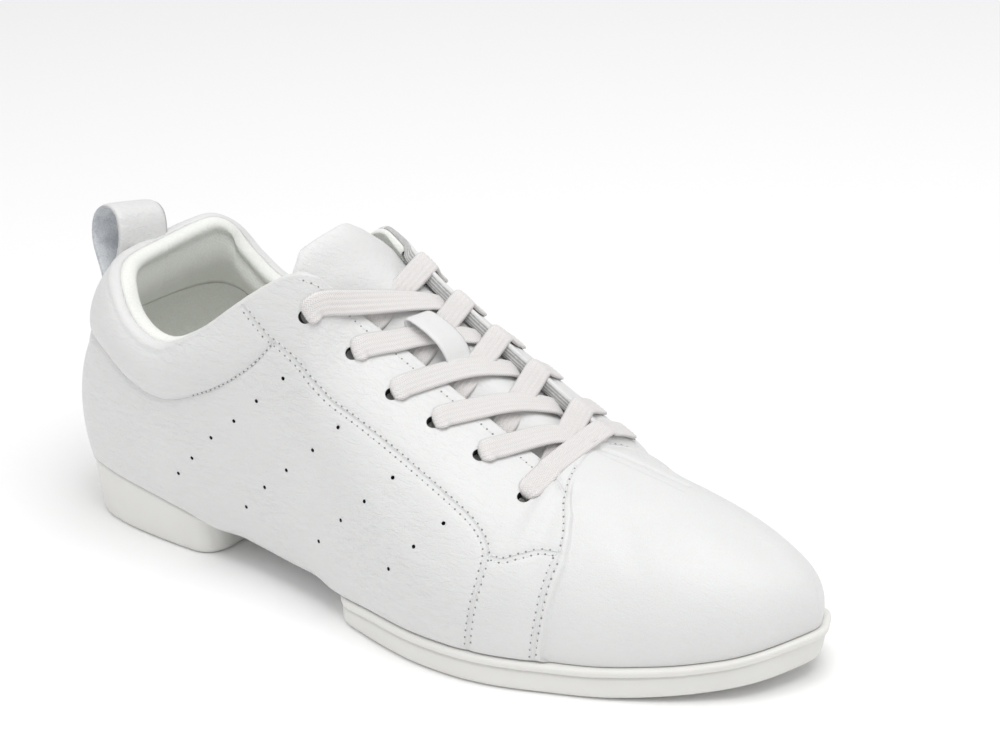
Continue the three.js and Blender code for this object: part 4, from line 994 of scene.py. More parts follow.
# %% Build a pad from its wall profile and its tread
def build_pad(name, tip_share, breast_x, profile, base, tread, materials):
    """profile is a list of (inset at the points, height at x) from the floor to the top."""
    ring, edge = pad_outline(tip_share, breast_x)
    n = ring_normals(ring)
    layers = []
    for inset, height in profile:
        d = inset(edge) if callable(inset) else np.full(len(ring), float(inset))
        xy = ring - n * d[:, None]
        layers.append(np.concatenate([xy, height(xy[:, 0])[:, None]], -1))
    walls = np.stack(layers, 1)
    columns, rows = walls.shape[:2]
    points = [walls.reshape(-1, 3)]
    quads = [loft_quads(columns, rows, closed_columns=True, closed_rows=False)]
    start = columns * rows
    loop = walls[:, 0]
    a = loop[:PAD_STEPS + 1]
    b = np.concatenate([loop[PAD_STEPS + BREAST_STEPS:], loop[:1]])[::-1]
    k = np.linspace(0, 1, PAD_ROWS + 1)
    grid = a[:, None] * (1 - k)[None, :, None] + b[:, None] * k[None, :, None]
    grid[-1] = loop[PAD_STEPS:PAD_STEPS + BREAST_STEPS + 1]
    x, y = grid[..., 0], grid[..., 1]
    grid[..., 2] = base(x) + tread(x, y, loop[:, :2])
    grid[:, 0], grid[:, -1] = a, b
    grid[-1] = loop[PAD_STEPS:PAD_STEPS + BREAST_STEPS + 1]
    quads.append(loft_quads(PAD_STEPS + 1, PAD_ROWS + 1, closed_rows=False)[:, ::-1] + start)
    points.append(grid.reshape(-1, 3))
    at = np.arange(columns) * rows + rows - 1
    left, right = at[:PAD_STEPS], np.concatenate([at[:1], at[:PAD_STEPS + BREAST_STEPS - 1:-1]])
    quads.append(np.stack([left[:-1], left[1:], right[1:PAD_STEPS], right[:PAD_STEPS - 1]], -1))
    end = at[PAD_STEPS:PAD_STEPS + BREAST_STEPS + 1]
    fan = [[left[-1], e, f, f] for e, f in zip(end[:-1], end[1:])]
    fan += [[left[-1], left[-1], at[PAD_STEPS], at[PAD_STEPS]],
            [left[-1], end[-1], right[PAD_STEPS - 1], right[PAD_STEPS - 1]]]
    quads.append(np.array(fan))
    return solid_mesh(name, np.concatenate(points), np.concatenate(quads), materials)


def round_edge(radius, steps, base, extra=0.0):
    """The soft lower edge of a pad wall."""
    out = []
    for k in range(steps + 1):
        s, c = math.sin(math.pi / 2 * k / steps), math.cos(math.pi / 2 * k / steps)
        out.append((radius * (1 - s) + extra, lambda x, c=c: base(x) + radius * (1 - c)))
    return out


def flat_floor(x):
    return np.zeros_like(x)


def pad_top(x):
    return feather_z(x) - FIT_GAP


def build_heel_block(materials):
    profile = round_edge(2.2, 5, flat_floor, 0.15)
    for k in range(1, 9):
        share = 0.12 + 0.79 * k / 8
        pull = 0.9 * share ** 1.3
        profile.append((lambda e, p=pull: e * p + 0.15 * (1 - p),
                        lambda x, s=share: pad_top(x) * s))
    profile += [(lambda e: e - 0.15, lambda x: pad_top(x) - 0.9),
                (lambda e: e + 0.1, lambda x: pad_top(x) - 0.3),
                (lambda e: e + 0.8, pad_top)]
    return build_pad("heel_pad", 0.0, BREAST_X, profile, flat_floor, heel_tread, materials)


def build_front_pad(materials):
    def flare(e):
        return np.minimum(0, e - 1.2)

    profile = round_edge(2.2, 5, spring_z)
    profile += [
        (lambda e: flare(e) * 0.3 + 0.02, lambda x: spring_z(x) * 0.6 + pad_top(x) * 0.4),
        (lambda e: flare(e) * 0.6 + 0.1, lambda x: pad_top(x) - 3.4),
        (lambda e: flare(e) * 0.7 + 0.3, lambda x: pad_top(x) - 3.0),
        (lambda e: flare(e) * 0.9 + 0.75, lambda x: pad_top(x) - 2.75),
        (lambda e: flare(e) + 0.7, lambda x: pad_top(x) - 2.45),
        (lambda e: flare(e) + 0.05, lambda x: pad_top(x) - 2.2),
        (lambda e: flare(e) - 0.3, lambda x: pad_top(x) - 1.8),
        (lambda e: flare(e) - 0.45, lambda x: pad_top(x) - 1.2),
        (lambda e: flare(e) - 0.35, lambda x: pad_top(x) - 0.6),
        (lambda e: flare(e) + 0.1, lambda x: pad_top(x) - 0.15),
        (lambda e: flare(e) + 0.9, pad_top),
    ]
    return build_pad("front_pad", 1.0, FOREFOOT_BACK_X, profile, spring_z, front_tread,
                     materials)


# %% [markdown]
# ## Insole and waist strip
# The insole is an even sheet of foam with a woven cover that follows the feather line. It is
# lofted from the lateral to the medial edge with a rounded rim. The waist strip is the narrow
# leather cover between the two pads. Its long edges show as two fine lines under the arch.

# %% Insole and waist strip
INSOLE_COLUMNS = 150
INSOLE_ROWS = 22


def build_insole(materials):
    share = np.linspace(0, 1, INSOLE_COLUMNS + 1)
    lines = {}
    for side in SIDES:
        p, n = edge_at(side, share)
        lines[side] = p - n * (inset_at(side, share) + WALL + 1.4)[:, None]
    low = WALL + FIT_GAP
    k = np.linspace(0, 1, INSOLE_ROWS + 1)
    grid = (lines["lateral"][:, None] * (1 - k)[None, :, None]
            + lines["medial"][:, None] * k[None, :, None])
    floor = feather_z(grid[..., 0]) + low
    dish = 0.5 * np.sin(np.pi * k)[None, :] * np.ones(len(share))[:, None]
    width = np.linalg.norm(grid[:, 0] - grid[:, -1], axis=-1)
    thick = INSOLE_THICKNESS - dish * smooth(width / 40)[:, None]
    edge = np.minimum(1, np.minimum(k, 1 - k)[None, :] * width[:, None] / 1.5)
    thick = thick * (0.72 + 0.28 * np.sqrt(edge))
    top = np.concatenate([grid, (floor + thick)[..., None]], -1)
    bottom = np.concatenate([grid, floor[..., None]], -1)
    ring = np.concatenate([top, bottom[:, ::-1]], 1)
    columns, rows = ring.shape[:2]
    quads = [loft_quads(columns, rows)]
    quads += end_ladders(columns, rows)
    return solid_mesh("insole_sock", ring.reshape(-1, 3), np.concatenate(quads), materials)


def build_waist_strip(materials):
    x = np.linspace(BREAST_X + 0.4, FOREFOOT_BACK_X - 0.4, 60)
    section = [(-10, 0.6), (-9.9, 0.1), (-9.5, -0.25), (-8, -0.42), (-4, -0.5), (0, -0.52),
               (4, -0.5), (8, -0.42), (9.5, -0.25), (9.9, 0.1), (10, 0.6), (10, WALL),
               (-10, WALL)]
    ring = np.stack([np.stack([x, np.full_like(x, WAIST_CENTRE_Y + y), feather_z(x) + z], -1)
                     for y, z in section], 1)
    columns, rows = ring.shape[:2]
    points = np.concatenate([ring.reshape(-1, 3), ring[[0, -1]].mean(1)])
    quads = [loft_quads(columns, rows)]
    quads += end_fans(columns, rows)
    return solid_mesh("waist_cover", points, np.concatenate(quads), materials)

# %% [markdown]
# ## Tongue
# The tongue is a padded flap under the laces that fans out at its top. It hangs just inside
# the throat edges, so its sections are found from the two facings, then shifted and widened
# by TONGUE_ROWS. A cross section is a soft curve with a rounded rim, and the surface swells a
# little between the laces.

# %% Sections of the tongue
TONGUE_CLEAR = 1.0
TONGUE_PRESS = 0.9
TONGUE_POINTS = 41
TONGUE_COLUMNS = 110
TONGUE_CORNER = 0.5


def row_at_top_x(side, x):
    t = np.linspace(9 if side == "lateral" else 11, THROAT_ROW[side], 2001)
    return float(np.interp(x, rib_frame(side, t)["top"][:, 0], t))


def wall_thickness(side, t, v):
    rib = rib_frame(side, t)
    plain = WALL + SEAM_RAISE
    w = smooth((v - rib["from"]) / (1 - rib["from"]))
    return plain + (np.maximum(plain, rib["pad"]) - plain) * w


def smooth_curve(keys, count):
    """Evenly spaced points on an eased curve through keys."""
    keys = np.asarray(keys, float)
    padded = np.vstack([2 * keys[0] - keys[1], keys, 2 * keys[-1] - keys[-2]])
    fine = rows_at(padded, np.linspace(1, len(keys), 40 * len(keys)))
    run = run_length(fine)
    even = np.linspace(0, run[-1], count)
    return np.stack([np.interp(even, run, fine[:, c]) for c in range(fine.shape[1])], -1)


def tongue_section(x, start, count=TONGUE_POINTS):
    keys = {}
    for side in SIDES:
        t = row_at_top_x(side, x)
        v = start + (1 - start) * np.arange(4) / 3
        deep = wall_thickness(side, t, v) - SEAM_RAISE + TONGUE_CLEAR
        normal = upper_normal(side, np.full(4, t), v)
        keys[side] = (upper_point(side, np.full(4, t), v) - normal * deep[:, None],
                      upper_point(side, t, 1.0))
    mid = (keys["lateral"][1] + keys["medial"][1]) / 2
    mid = mid + [0, 0, 1.2 - TONGUE_PRESS * smooth((x - 118) / 10)]
    return smooth_curve(np.vstack([keys["lateral"][0], mid, keys["medial"][0][::-1]]), count)


def tongue_tops():
    share = np.linspace(-1, 1, TONGUE_POINTS)
    tops = []
    for x, start, dx, dy, dz, _, drop in TONGUE_ROWS:
        line = tongue_section(x, start) + [dx, dy, dz]
        line[:, 2] -= drop * smooth(share)
        tops.append(line)
    return np.array(tops)


def build_tongue(materials):
    tops = tongue_tops()
    k = np.linspace(0, len(tops) - 1, TONGUE_COLUMNS)
    # the top outline is round: the sides of the last rows stop lower than the middle
    place = np.linspace(-1, 1, TONGUE_POINTS)
    share = np.abs(place)
    fall = np.maximum(k - 8, 0)[:, None] * TONGUE_CORNER * share ** 2.4
    flat = np.stack([rows_at(tops[:, j], k - fall[:, j]) for j in range(TONGUE_POINTS)], 1)
    thick = np.interp(k, np.arange(len(tops)), TONGUE_ROWS[:, 5])
    # the last rows turn in to a round tip
    tip = smooth((k - 9.2) / (len(tops) - 1 - 9.2))
    middle = flat.mean(1, keepdims=True)
    flat = middle + (flat - middle) * (1 - 0.10 * tip ** 4)[:, None, None]
    wide = smooth((k - 6) / 3)[:, None] * np.clip(-place, 0, 1) ** 2
    flat = flat + wide[..., None] * [-3.4, -3.0, 0.4]
    n = unit(np.cross(np.gradient(flat, axis=0), np.gradient(flat, axis=1)))
    n = n * np.sign(n[..., 2].mean())
    rim = np.sqrt(np.clip(1 - share ** 6, 0, 1))[None, :]
    end = np.clip(np.minimum(k / 0.4, (len(tops) - 1 - k) / 0.7), 0, 1)
    body = thick[:, None] * rim * np.sqrt(1 - (1 - end[:, None]) ** 2)
    swell = 0.35 * rim * smooth((k - 2) / 2)[:, None] * smooth((11.5 - k) / 2)[:, None]
    fold = 0.25 * np.sin(k * 2.9)[:, None] * smooth((5 - k) / 3)[:, None] * rim
    top = flat + n * (swell + fold - 0.5 * thick[:, None] * (1 - rim))[..., None]
    bottom = top - n * (body + swell + 0.02)[..., None]
    ring = np.concatenate([top, bottom[:, ::-1][:, 1:-1]], 1)
    ring[:, TONGUE_POINTS - 1] = (top[:, -1] + bottom[:, -1]) / 2
    ring[:, 0] = (top[:, 0] + bottom[:, 0]) / 2
    columns, rows = ring.shape[:2]
    points = ring.reshape(-1, 3)
    quads = [loft_quads(columns, rows)]
    quads += end_ladders(columns, rows, 1)
    return solid_mesh("tongue_pad", points, np.concatenate(quads), materials)


# %% [markdown]
# ## Flat lace
# One flat cotton lace zigzags down the throat and finishes in a straight bar. It is swept
# along a path with a width direction at each point, so it can dive through an eyelet, turn
# back under the leather and come up at the next one. Where it squeezes through an eyelet it
# is narrower and thicker. Five soft ribs run along its face, and a map of length and width
# lets the weave follow it.

# %% Sweep of a flat woven band
BAND_FACE = 15
RIB_HEIGHT = 0.10


def band_section(count=BAND_FACE):
    """Across positions (-1 to 1) and heights (-1 to 1) round a flat band."""
    u = np.linspace(-1, 1, count)
    h = np.sqrt(np.clip(1 - np.abs(u) ** 5, 0, 1))
    top = np.stack([u, h], -1)
    bottom = np.stack([u[::-1], -h[::-1]], -1)[1:-1]
    return np.concatenate([top, bottom])


def sweep_band(name, path, across_dir, width, thick, materials, ribs=RIB_HEIGHT, step=0.9):
    """Closed flat band along a path; width and thick may change along it."""
    path, across_dir = np.asarray(path, float), np.asarray(across_dir, float)
    keys = np.concatenate([path, across_dir, np.stack([
        np.broadcast_to(width, len(path)), np.broadcast_to(thick, len(path))], -1)], 1)
    padded = np.vstack([2 * keys[0] - keys[1], keys, 2 * keys[-1] - keys[-2]])
    fine = rows_at(padded, np.linspace(1, len(keys), 24 * len(keys)))
    run = run_length(fine[:, :3])
    count = max(8, int(run[-1] / step))
    even = np.linspace(0, run[-1], count)
    row = np.stack([np.interp(even, run, fine[:, c]) for c in range(8)], -1)
    p, along = row[:, :3], unit(np.gradient(row[:, :3], axis=0))
    side = unit(row[:, 3:6] - along * np.sum(row[:, 3:6] * along, -1, keepdims=True))
    up = np.cross(side, along)
    section = band_section()
    u, h = section[:, 0], section[:, 1]
    ripple = ribs * np.cos(u * 5 * np.pi) * np.sign(h) * (np.abs(u) < 0.93)
    w = np.maximum(row[:, 6], 1.0)[:, None] / 2
    t = np.maximum(row[:, 7], 0.5)[:, None] / 2
    end = np.minimum(even, run[-1] - even)
    close = np.sqrt(np.clip(1 - (1 - np.clip(end / 0.7, 0, 1)) ** 2, 0, 1))[:, None]
    points = (p[:, None] + side[:, None] * (w * u)[..., None]
              + up[:, None] * ((t * h + ripple) * np.maximum(close, 0.02))[..., None])
    columns, rows = points.shape[:2]
    flat = np.concatenate([points.reshape(-1, 3), p[[0, -1]]])
    quads = [loft_quads(columns, rows)]
    quads += end_fans(columns, rows)
    marks = {"lace_u": np.concatenate([np.repeat(even, rows), even[[0, -1]]]),
             "lace_v": np.concatenate([np.tile(u * LACE_WIDTH / 2, columns), [0, 0]])}
    return solid_mesh(name, flat, np.concatenate(quads), materials, marks=marks)


# %% [markdown]
# A strap starts inside the shoe, comes up through its eyelet, bends over the facing, crosses
# the throat and dives under the other facing. The lateral straps lie over the medial ones.

# %% Straps of the lace
STRAP_LIFT = 1.4
EDGE_SHARE = 0.32
STRAP_OVER = {"lateral": 1.7, "medial": 0.1}


def taut(path):
    """Lifts a path to the upper hull of its own heights, as a pulled lace lies."""
    run = run_length(path[:, :2])
    hull = [0]
    for k in range(1, len(path)):
        while len(hull) > 1 and ((path[hull[-1], 2] - path[hull[-2], 2])
                                 * (run[k] - run[hull[-1]])
                                 <= (path[k, 2] - path[hull[-1], 2])
                                 * (run[hull[-1]] - run[hull[-2]])):
            hull.pop()
        hull.append(k)
    path[:, 2] = np.interp(run, run[hull], path[hull, 2])
    return path


def eyelet(side, k):
    row = EYELETS[k]
    return (row[0], row[1]) if side == "lateral" else (row[2], row[3])


def strap_path(side, k, arch):
    """Points, width directions, widths and thicknesses of one strap."""
    other = OTHER[side]
    t0, v0 = eyelet(side, k)
    t_end = eyelet(other, k + 1)[0]
    hole, out = upper_point(side, t0, v0), upper_normal(side, t0, v0)
    x1 = float(upper_point(other, t_end, 1.0)[0])
    t_edge = row_at_top_x(side, hole[0] + EDGE_SHARE * (x1 - hole[0]))
    p, up = [], []
    for share in np.linspace(0, 1, 5):
        t, v = t0 + (t_edge - t0) * share, v0 + 0.012 + (1 - v0 - 0.012) * share
        n = upper_normal(side, t, v)
        rise = FAR_EDGE_RISE * smooth((v - 0.88) / 0.10) if side == "medial" else 0.0
        p.append(upper_point(side, t, v) + n * (STRAP_LIFT + rise))
        up.append(n)
    start = p[-1]
    edge = upper_point(other, t_end, 1.0)
    n_end = upper_normal(other, t_end, 1.0)
    inward = unit((start - edge) * [1, 1, 0])
    end = edge + inward * 3.6 - n_end * 0.4
    for share in (0.25, 0.5, 0.75, 1.0):
        q = start + (end - start) * share
        q[2] += arch * math.sin(math.pi * share)
        p.append(q)
        up.append(unit(up[4] * (1 - share) + n_end * share))
    p = list(taut(np.array(p)))
    below = edge - inward * 1.5 - n_end * 4.6
    deep = edge - inward * 7.0 - n_end * 5.2
    p += [below, deep]
    up += [n_end, n_end]
    p, up = np.array(p), np.array(up)
    along = unit(np.gradient(p, axis=0))
    across_dir = unit(np.cross(along, up))
    first = across_dir[0]
    away = unit(p[0] - p[1])
    inside = [hole - out * 7.5 - away * 3.5, hole - out * 4.5 - away * 2.2,
              hole - out * 1.6 - away * 1.5, hole + out * 0.6 - away * 0.6]
    p[0] = hole + out * (STRAP_LIFT + 0.1) - away * 1.7
    path = np.vstack([inside, p])
    across_dir = np.vstack([[first] * 4, across_dir])
    width = np.array([3.4, 3.2, 3.2, 4.6, 7.6] + [8.0] * (len(p) - 1))
    thick = np.array([1.8, 1.6, 1.5, 1.5, 1.4] + [LACE_THICKNESS] * (len(p) - 1))
    return path, across_dir, width, thick


def build_straps(materials):
    straps = []
    for k in range(len(EYELETS) - 1):
        pair = []
        for side in SIDES:
            path, across_dir, width, thick = strap_path(side, k, STRAP_OVER[side])
            pair.append(sweep_band(f"lace_{side}_{k + 1}", path, across_dir, width, thick,
                                   materials))
        straps.append(pair)
    return straps


def build_lace_bar(materials):
    k = len(EYELETS) - 1
    ends = {}
    holes = {side: upper_point(side, *eyelet(side, k)) for side in OTHER}
    for side in SIDES:
        t0, v0 = eyelet(side, k)
        hole, out = holes[side], upper_normal(side, t0, v0)
        # the bar runs straight from hole to hole in plan
        gap = holes[OTHER[side]] - hole
        part = (float(upper_point(side, t0, 1.0)[1]) - hole[1]) / gap[1]
        reach = row_at_top_x(side, hole[0] + part * gap[0]) - t0
        p, up = [], []
        for share in np.linspace(0, 1, 5):
            t, v = t0 + reach * share, v0 + 0.012 + (0.988 - v0) * share
            n = upper_normal(side, t, v)
            p.append(upper_point(side, t, v) + n * (STRAP_LIFT + 0.6 * share))
            up.append(n)
        away = unit(p[0] - p[1])
        p[0] = hole + out * (STRAP_LIFT + 0.1) - away * 2.3
        inside = [hole - out * 6.5 - away * 3.0, hole - out * 4.0 - away * 2.0,
                  hole - out * 1.5 - away * 1.4, hole + out * 0.6 - away * 1.0]
        ends[side] = (np.array(inside + p), np.array([out] * 4 + up))
    path = np.vstack([ends["lateral"][0], ends["medial"][0][::-1]])
    up = np.vstack([ends["lateral"][1], ends["medial"][1][::-1]])
    chord = unit(ends["medial"][0][5] - ends["lateral"][0][5])
    across_dir = unit(np.cross(np.broadcast_to(chord, up.shape), up))
    half = [3.4, 3.2, 3.2, 4.6, 7.6, 8.2, 8.2, 8.2, 8.2]
    body = [1.8, 1.6, 1.5, 1.5, 1.4, 1.4, 1.3, 1.3, 1.3]
    return sweep_band("lace_bar_band", path, across_dir, np.array(half + half[::-1]),
                      np.array(body + body[::-1]), materials)


# %% [markdown]
# ## Keeper and pull loop
# A small leather tab on the tongue keeps the second strap in place. The pull loop at the heel
# is a wide strap turned back on itself, smooth leather outside and napped inside, with both
# its ends sewn into the collar.

# %% Lace keeper
KEEPER_ROWS = [(148.8, 0.9), (147.4, 1.4), (146.2, 2.9), (144.0, 4.4), (140.4, 5.0),
               (136.4, 4.7), (133.0, 3.9), (131.3, 2.6), (131.4, 1.3), (133.2, 0.8)]


def build_keeper(materials):
    path = []
    for x, lift in KEEPER_ROWS:
        middle = tongue_section(x, 0.8, 21)[10]
        path.append(middle + [0, 0, lift + 0.3])
    path = np.array(path)
    across_dir = np.broadcast_to([0.10, 1.0, -0.05], path.shape)
    return sweep_band("keeper_tab", path, across_dir, 10.6, 1.2, materials, ribs=0.0, step=0.5)


# %% Pull loop
LOOP_CENTRE = np.array([8.6, -1.2, 87.1])
LOOP_WIDTH = 18.5
LOOP_STRAP = 1.6
LOOP_AXIS = unit(np.array([0.25, 0.95, -0.16]))
LOOP_RING = np.array([[-1.0, -16.0], [-2.6, -12.2], [-5.4, -8.2], [-8.4, -3.6], [-9.4, 1.4],
                      [-8.2, 6.2], [-4.6, 9.6], [0.4, 10.6], [4.8, 9.0], [7.1, 5.0],
                      [7.5, 0.4], [6.4, -4.5], [5.0, -9.0], [4.2, -13.0], [4.0, -16.0]])


def build_pull_loop(materials):
    forward = unit(np.array([1.0, 0, 0]) - LOOP_AXIS * LOOP_AXIS[0])
    up = np.cross(forward, LOOP_AXIS)
    up = up if up[2] > 0 else -up
    path = LOOP_CENTRE + LOOP_RING[:, :1] * forward + LOOP_RING[:, 1:] * up
    across_dir = np.broadcast_to(LOOP_AXIS, path.shape)
    loop = sweep_band("heel_loop", path, across_dir, LOOP_WIDTH, LOOP_STRAP, materials,
                      ribs=0.0, step=0.7)
    centre = (LOOP_CENTRE + SHIFT) * MM
    axis = Vector(LOOP_AXIS)
    for face in loop.data.polygons:
        arm = face.center - Vector(centre)
        arm -= axis * arm.dot(axis)
        if face.normal.dot(arm) < 0 and abs(face.normal.dot(axis)) < 0.6:
            face.material_index = 1
    return loop

# %% [markdown]
# ## Stitches
# A stitch is a short grain of thread that dips into the leather at both ends, with a tiny grey
# patch of painted shade beside it for its needle hole. There are several hundred, so Geometry
# Nodes place them: a line of points carries the direction and the outward normal, the tree
# turns a low grain to fit, and its inputs set the sizes. The result is made a plain mesh
# before it rides on the shoe.

# %% One stitch grain and one flat needle-hole patch of painted shade, each with a few dozen faces
STITCH_PITCH = 2.35
STITCH_LENGTH = 1.6
STITCH_WIDTH = 0.62
HOLE_WIDTH = 0.66


def grain_mesh(name, sides=6, stations=(-1, -0.72, 0, 0.72, 1), tall=0.5, sink=0.34):
    """A grain along X, one unit long and one wide, whose ends dip down."""
    points, quads = [], []
    for s in stations:
        half = math.sqrt(max(0.02, 1 - abs(s) ** 3))
        for m in range(sides):
            a = 2 * math.pi * m / sides
            points.append((s / 2, math.cos(a) * half / 2,
                           math.sin(a) * half * tall / 2 - sink * s * s))
    for k in range(len(stations) - 1):
        for m in range(sides):
            a, b = k * sides + m, k * sides + (m + 1) % sides
            quads.append((a, b, b + sides, a + sides))
    last = (len(stations) - 1) * sides
    quads.append(tuple(reversed(range(sides))))
    quads.append(tuple(last + m for m in range(sides)))
    mesh = bpy.data.meshes.new(name)
    mesh.from_pydata(points, [], quads)
    return mesh


def template(name, mesh, keep):
    piece = bpy.data.objects.new(name, mesh)
    bpy.context.scene.collection.objects.link(piece)
    keep.append(piece)
    return piece


# %% The tree that copies a grain to every point
def copy_tree(name, grain, material):
    tree = bpy.data.node_groups.new(name, "GeometryNodeTree")
    face = tree.interface
    face.new_socket("Geometry", in_out="INPUT", socket_type="NodeSocketGeometry")
    for label in ("Length", "Width", "Height"):
        face.new_socket(label, in_out="INPUT", socket_type="NodeSocketFloat")
    face.new_socket("Uneven", in_out="INPUT", socket_type="NodeSocketFloat")
    face.new_socket("Geometry", in_out="OUTPUT", socket_type="NodeSocketGeometry")
    nodes, links = tree.nodes, tree.links
    source, drain = nodes.new("NodeGroupInput"), nodes.new("NodeGroupOutput")
    info = nodes.new("GeometryNodeObjectInfo")
    info.inputs["Object"].default_value = grain
    along, normal = (nodes.new("GeometryNodeInputNamedAttribute") for _ in range(2))
    for node, label in ((along, "along"), (normal, "outward")):
        node.data_type = "FLOAT_VECTOR"
        node.inputs["Name"].default_value = label
    lay, stand = (nodes.new("FunctionNodeAlignRotationToVector") for _ in range(2))
    lay.axis, stand.axis, stand.pivot_axis = "X", "Z", "X"
    links.new(along.outputs["Attribute"], lay.inputs["Vector"])
    links.new(lay.outputs["Rotation"], stand.inputs["Rotation"])
    links.new(normal.outputs["Attribute"], stand.inputs["Vector"])
    chance = nodes.new("FunctionNodeRandomValue")
    chance.data_type = "FLOAT"
    chance.inputs["Seed"].default_value = 7
    low, high = (nodes.new("ShaderNodeMath") for _ in range(2))
    low.operation, high.operation = "SUBTRACT", "ADD"
    low.inputs[0].default_value = high.inputs[0].default_value = 1.0
    for node in (low, high):
        links.new(source.outputs["Uneven"], node.inputs[1])
    links.new(low.outputs[0], chance.inputs[2])
    links.new(high.outputs[0], chance.inputs[3])
    size, scale = nodes.new("ShaderNodeCombineXYZ"), nodes.new("ShaderNodeVectorMath")
    for axis, label in zip("XYZ", ("Length", "Width", "Height")):
        links.new(source.outputs[label], size.inputs[axis])
    scale.operation = "SCALE"
    links.new(size.outputs[0], scale.inputs[0])
    links.new(chance.outputs[1], scale.inputs["Scale"])
    copies = nodes.new("GeometryNodeInstanceOnPoints")
    links.new(source.outputs["Geometry"], copies.inputs["Points"])
    links.new(info.outputs["Geometry"], copies.inputs["Instance"])
    links.new(stand.outputs["Rotation"], copies.inputs["Rotation"])
    links.new(scale.outputs[0], copies.inputs["Scale"])
    whole, paint = nodes.new("GeometryNodeRealizeInstances"), nodes.new("GeometryNodeSetMaterial")
    paint.inputs["Material"].default_value = material
    links.new(copies.outputs["Instances"], whole.inputs["Geometry"])
    links.new(whole.outputs["Geometry"], paint.inputs["Geometry"])
    links.new(paint.outputs["Geometry"], drain.inputs["Geometry"])
    return tree


def copies_on_points(name, rows, grain, material, length, width, height, uneven=0.0):
    """A plain mesh with a grain at each point; rows holds points, directions, normals in mm."""
    points = np.concatenate([r[0] for r in rows])
    along = np.concatenate([r[1] for r in rows])
    normal = np.concatenate([r[2] for r in rows])
    mesh = bpy.data.meshes.new(name + "_points")
    mesh.from_pydata(((points + SHIFT) * MM).tolist(), [], [])
    for label, values in (("along", along), ("outward", normal)):
        mark = mesh.attributes.new(label, "FLOAT_VECTOR", "POINT")
        mark.data.foreach_set("vector", values.astype(np.float32).ravel())
    carrier = bpy.data.objects.new(name, mesh)
    bpy.context.scene.collection.objects.link(carrier)
    tree = copy_tree(name + "_tree", grain, material)
    modifier = carrier.modifiers.new("copies", "NODES")
    modifier.node_group = tree
    sizes = {"Length": length * MM, "Width": width * MM, "Height": height * MM, "Uneven": uneven}
    for item in tree.interface.items_tree:
        if item.item_type == "SOCKET" and item.in_out == "INPUT" and item.name in sizes:
            modifier[item.identifier] = sizes[item.name]
    bpy.context.view_layer.update()
    graph = bpy.context.evaluated_depsgraph_get()
    made = bpy.data.meshes.new_from_object(carrier.evaluated_get(graph))
    carrier.modifiers.clear()
    carrier.data = made
    made.name = name
    if material.name not in made.materials:
        made.materials.append(material)
    for face in made.polygons:
        face.use_smooth = True
    print(name, len(points), "copies,", len(made.polygons), "faces")
    return carrier


# %% [markdown]
# The rows follow the seams of the panels: two rows side by side on the long facing seam, on
# its rear drop to the sole, on the cross seam and down the vamp seam, and single rows under
# the collar, along the facing's inner edge and behind the panel edge.

# %% Rows of stitch points
def surface_out(side, points):
    """How far the shell stands off the last at places near its grid points."""
    g = GRID[side]
    flat = g["p"].reshape(-1, 3)
    tree = OUT_TREES.get(side)
    if tree is None:
        tree = KDTree(len(flat))
        for k, q in enumerate(flat):
            tree.insert(q, k)
        tree.balance()
        OUT_TREES[side] = tree
    out, normals = g["out"].reshape(-1), g["n"].reshape(-1, 3)
    place, height = [], []
    for q in points:
        near = tree.find_n(q, 4)
        weight = np.array([1 / (d + 0.05) for _, _, d in near])
        weight /= weight.sum()
        index = [k for _, k, _ in near]
        height.append(float(out[index] @ weight))
        place.append(unit(normals[index].T @ weight))
    return np.array(height), np.array(place)


OUT_TREES = {}


def stitch_row(side, table, offset, pitch=STITCH_PITCH, start=0.6, stop=0.6, phase=0.0,
               lift=0.02):
    """Points along a seam table, set sideways by offset, on the shell's own surface."""
    line = seam_line(side, np.asarray(table, float), 0.25)
    sideways = unit(np.cross(line["n"], line["along"]))
    run = np.arange(start + phase, line["length"] - stop, pitch)
    even = np.linspace(0, line["length"], len(line["p"]))
    path = line["p"] + sideways * offset
    p = np.stack([np.interp(run, even, path[:, c]) for c in range(3)], -1)
    along = np.stack([np.interp(run, even, line["along"][:, c]) for c in range(3)], -1)
    out, normal = surface_out(side, p)
    along = unit(along - normal * np.sum(along * normal, -1, keepdims=True))
    base = p - line["n"][np.clip((run / 0.25).astype(int), 0, len(line["n"]) - 1)] * 0
    return base + normal * (out + lift)[:, None], along, normal


# height share of rows that follow the edge of a facing, on the lateral side
INNER_ROW = np.array([[8.55, 0.985], [9.2, 0.972], [10.2, 0.966], [11.3, 0.962], [12.4, 0.96],
                      [13.5, 0.958], [14.6, 0.955], [15.5, 0.945], [16.1, 0.93]])
TWIN = 1.0
ROW_PLAN = [
    (FACING_SEAM, -TWIN), (FACING_SEAM, TWIN), (CROSS_SEAM, -0.78), (CROSS_SEAM, 0.78),
    (FRONT_SEAM, -TWIN), (FRONT_SEAM, TWIN), (FRONT_ROW, 0.0), (INNER_ROW, 0.0),
]


def all_stitches():
    rows, holes = [], []
    for side in SIDES:
        plan = ROW_PLAN if side == "lateral" else ROW_PLAN[:-1]
        for table, offset in plan:
            phase = 0.5 * STITCH_PITCH if offset > 0 else 0.0
            rows.append(stitch_row(side, table, offset, phase=phase))
            holes.append(stitch_row(side, table, offset, phase=phase + STITCH_PITCH / 2,
                                    lift=0.06))
        part = PAD_LINE[5:]
        rows.append(stitch_row(side, part, 0.0, pitch=2.0))
        holes.append(stitch_row(side, part, 0.0, pitch=2.0, phase=1.0, lift=0.06))
    return rows, holes
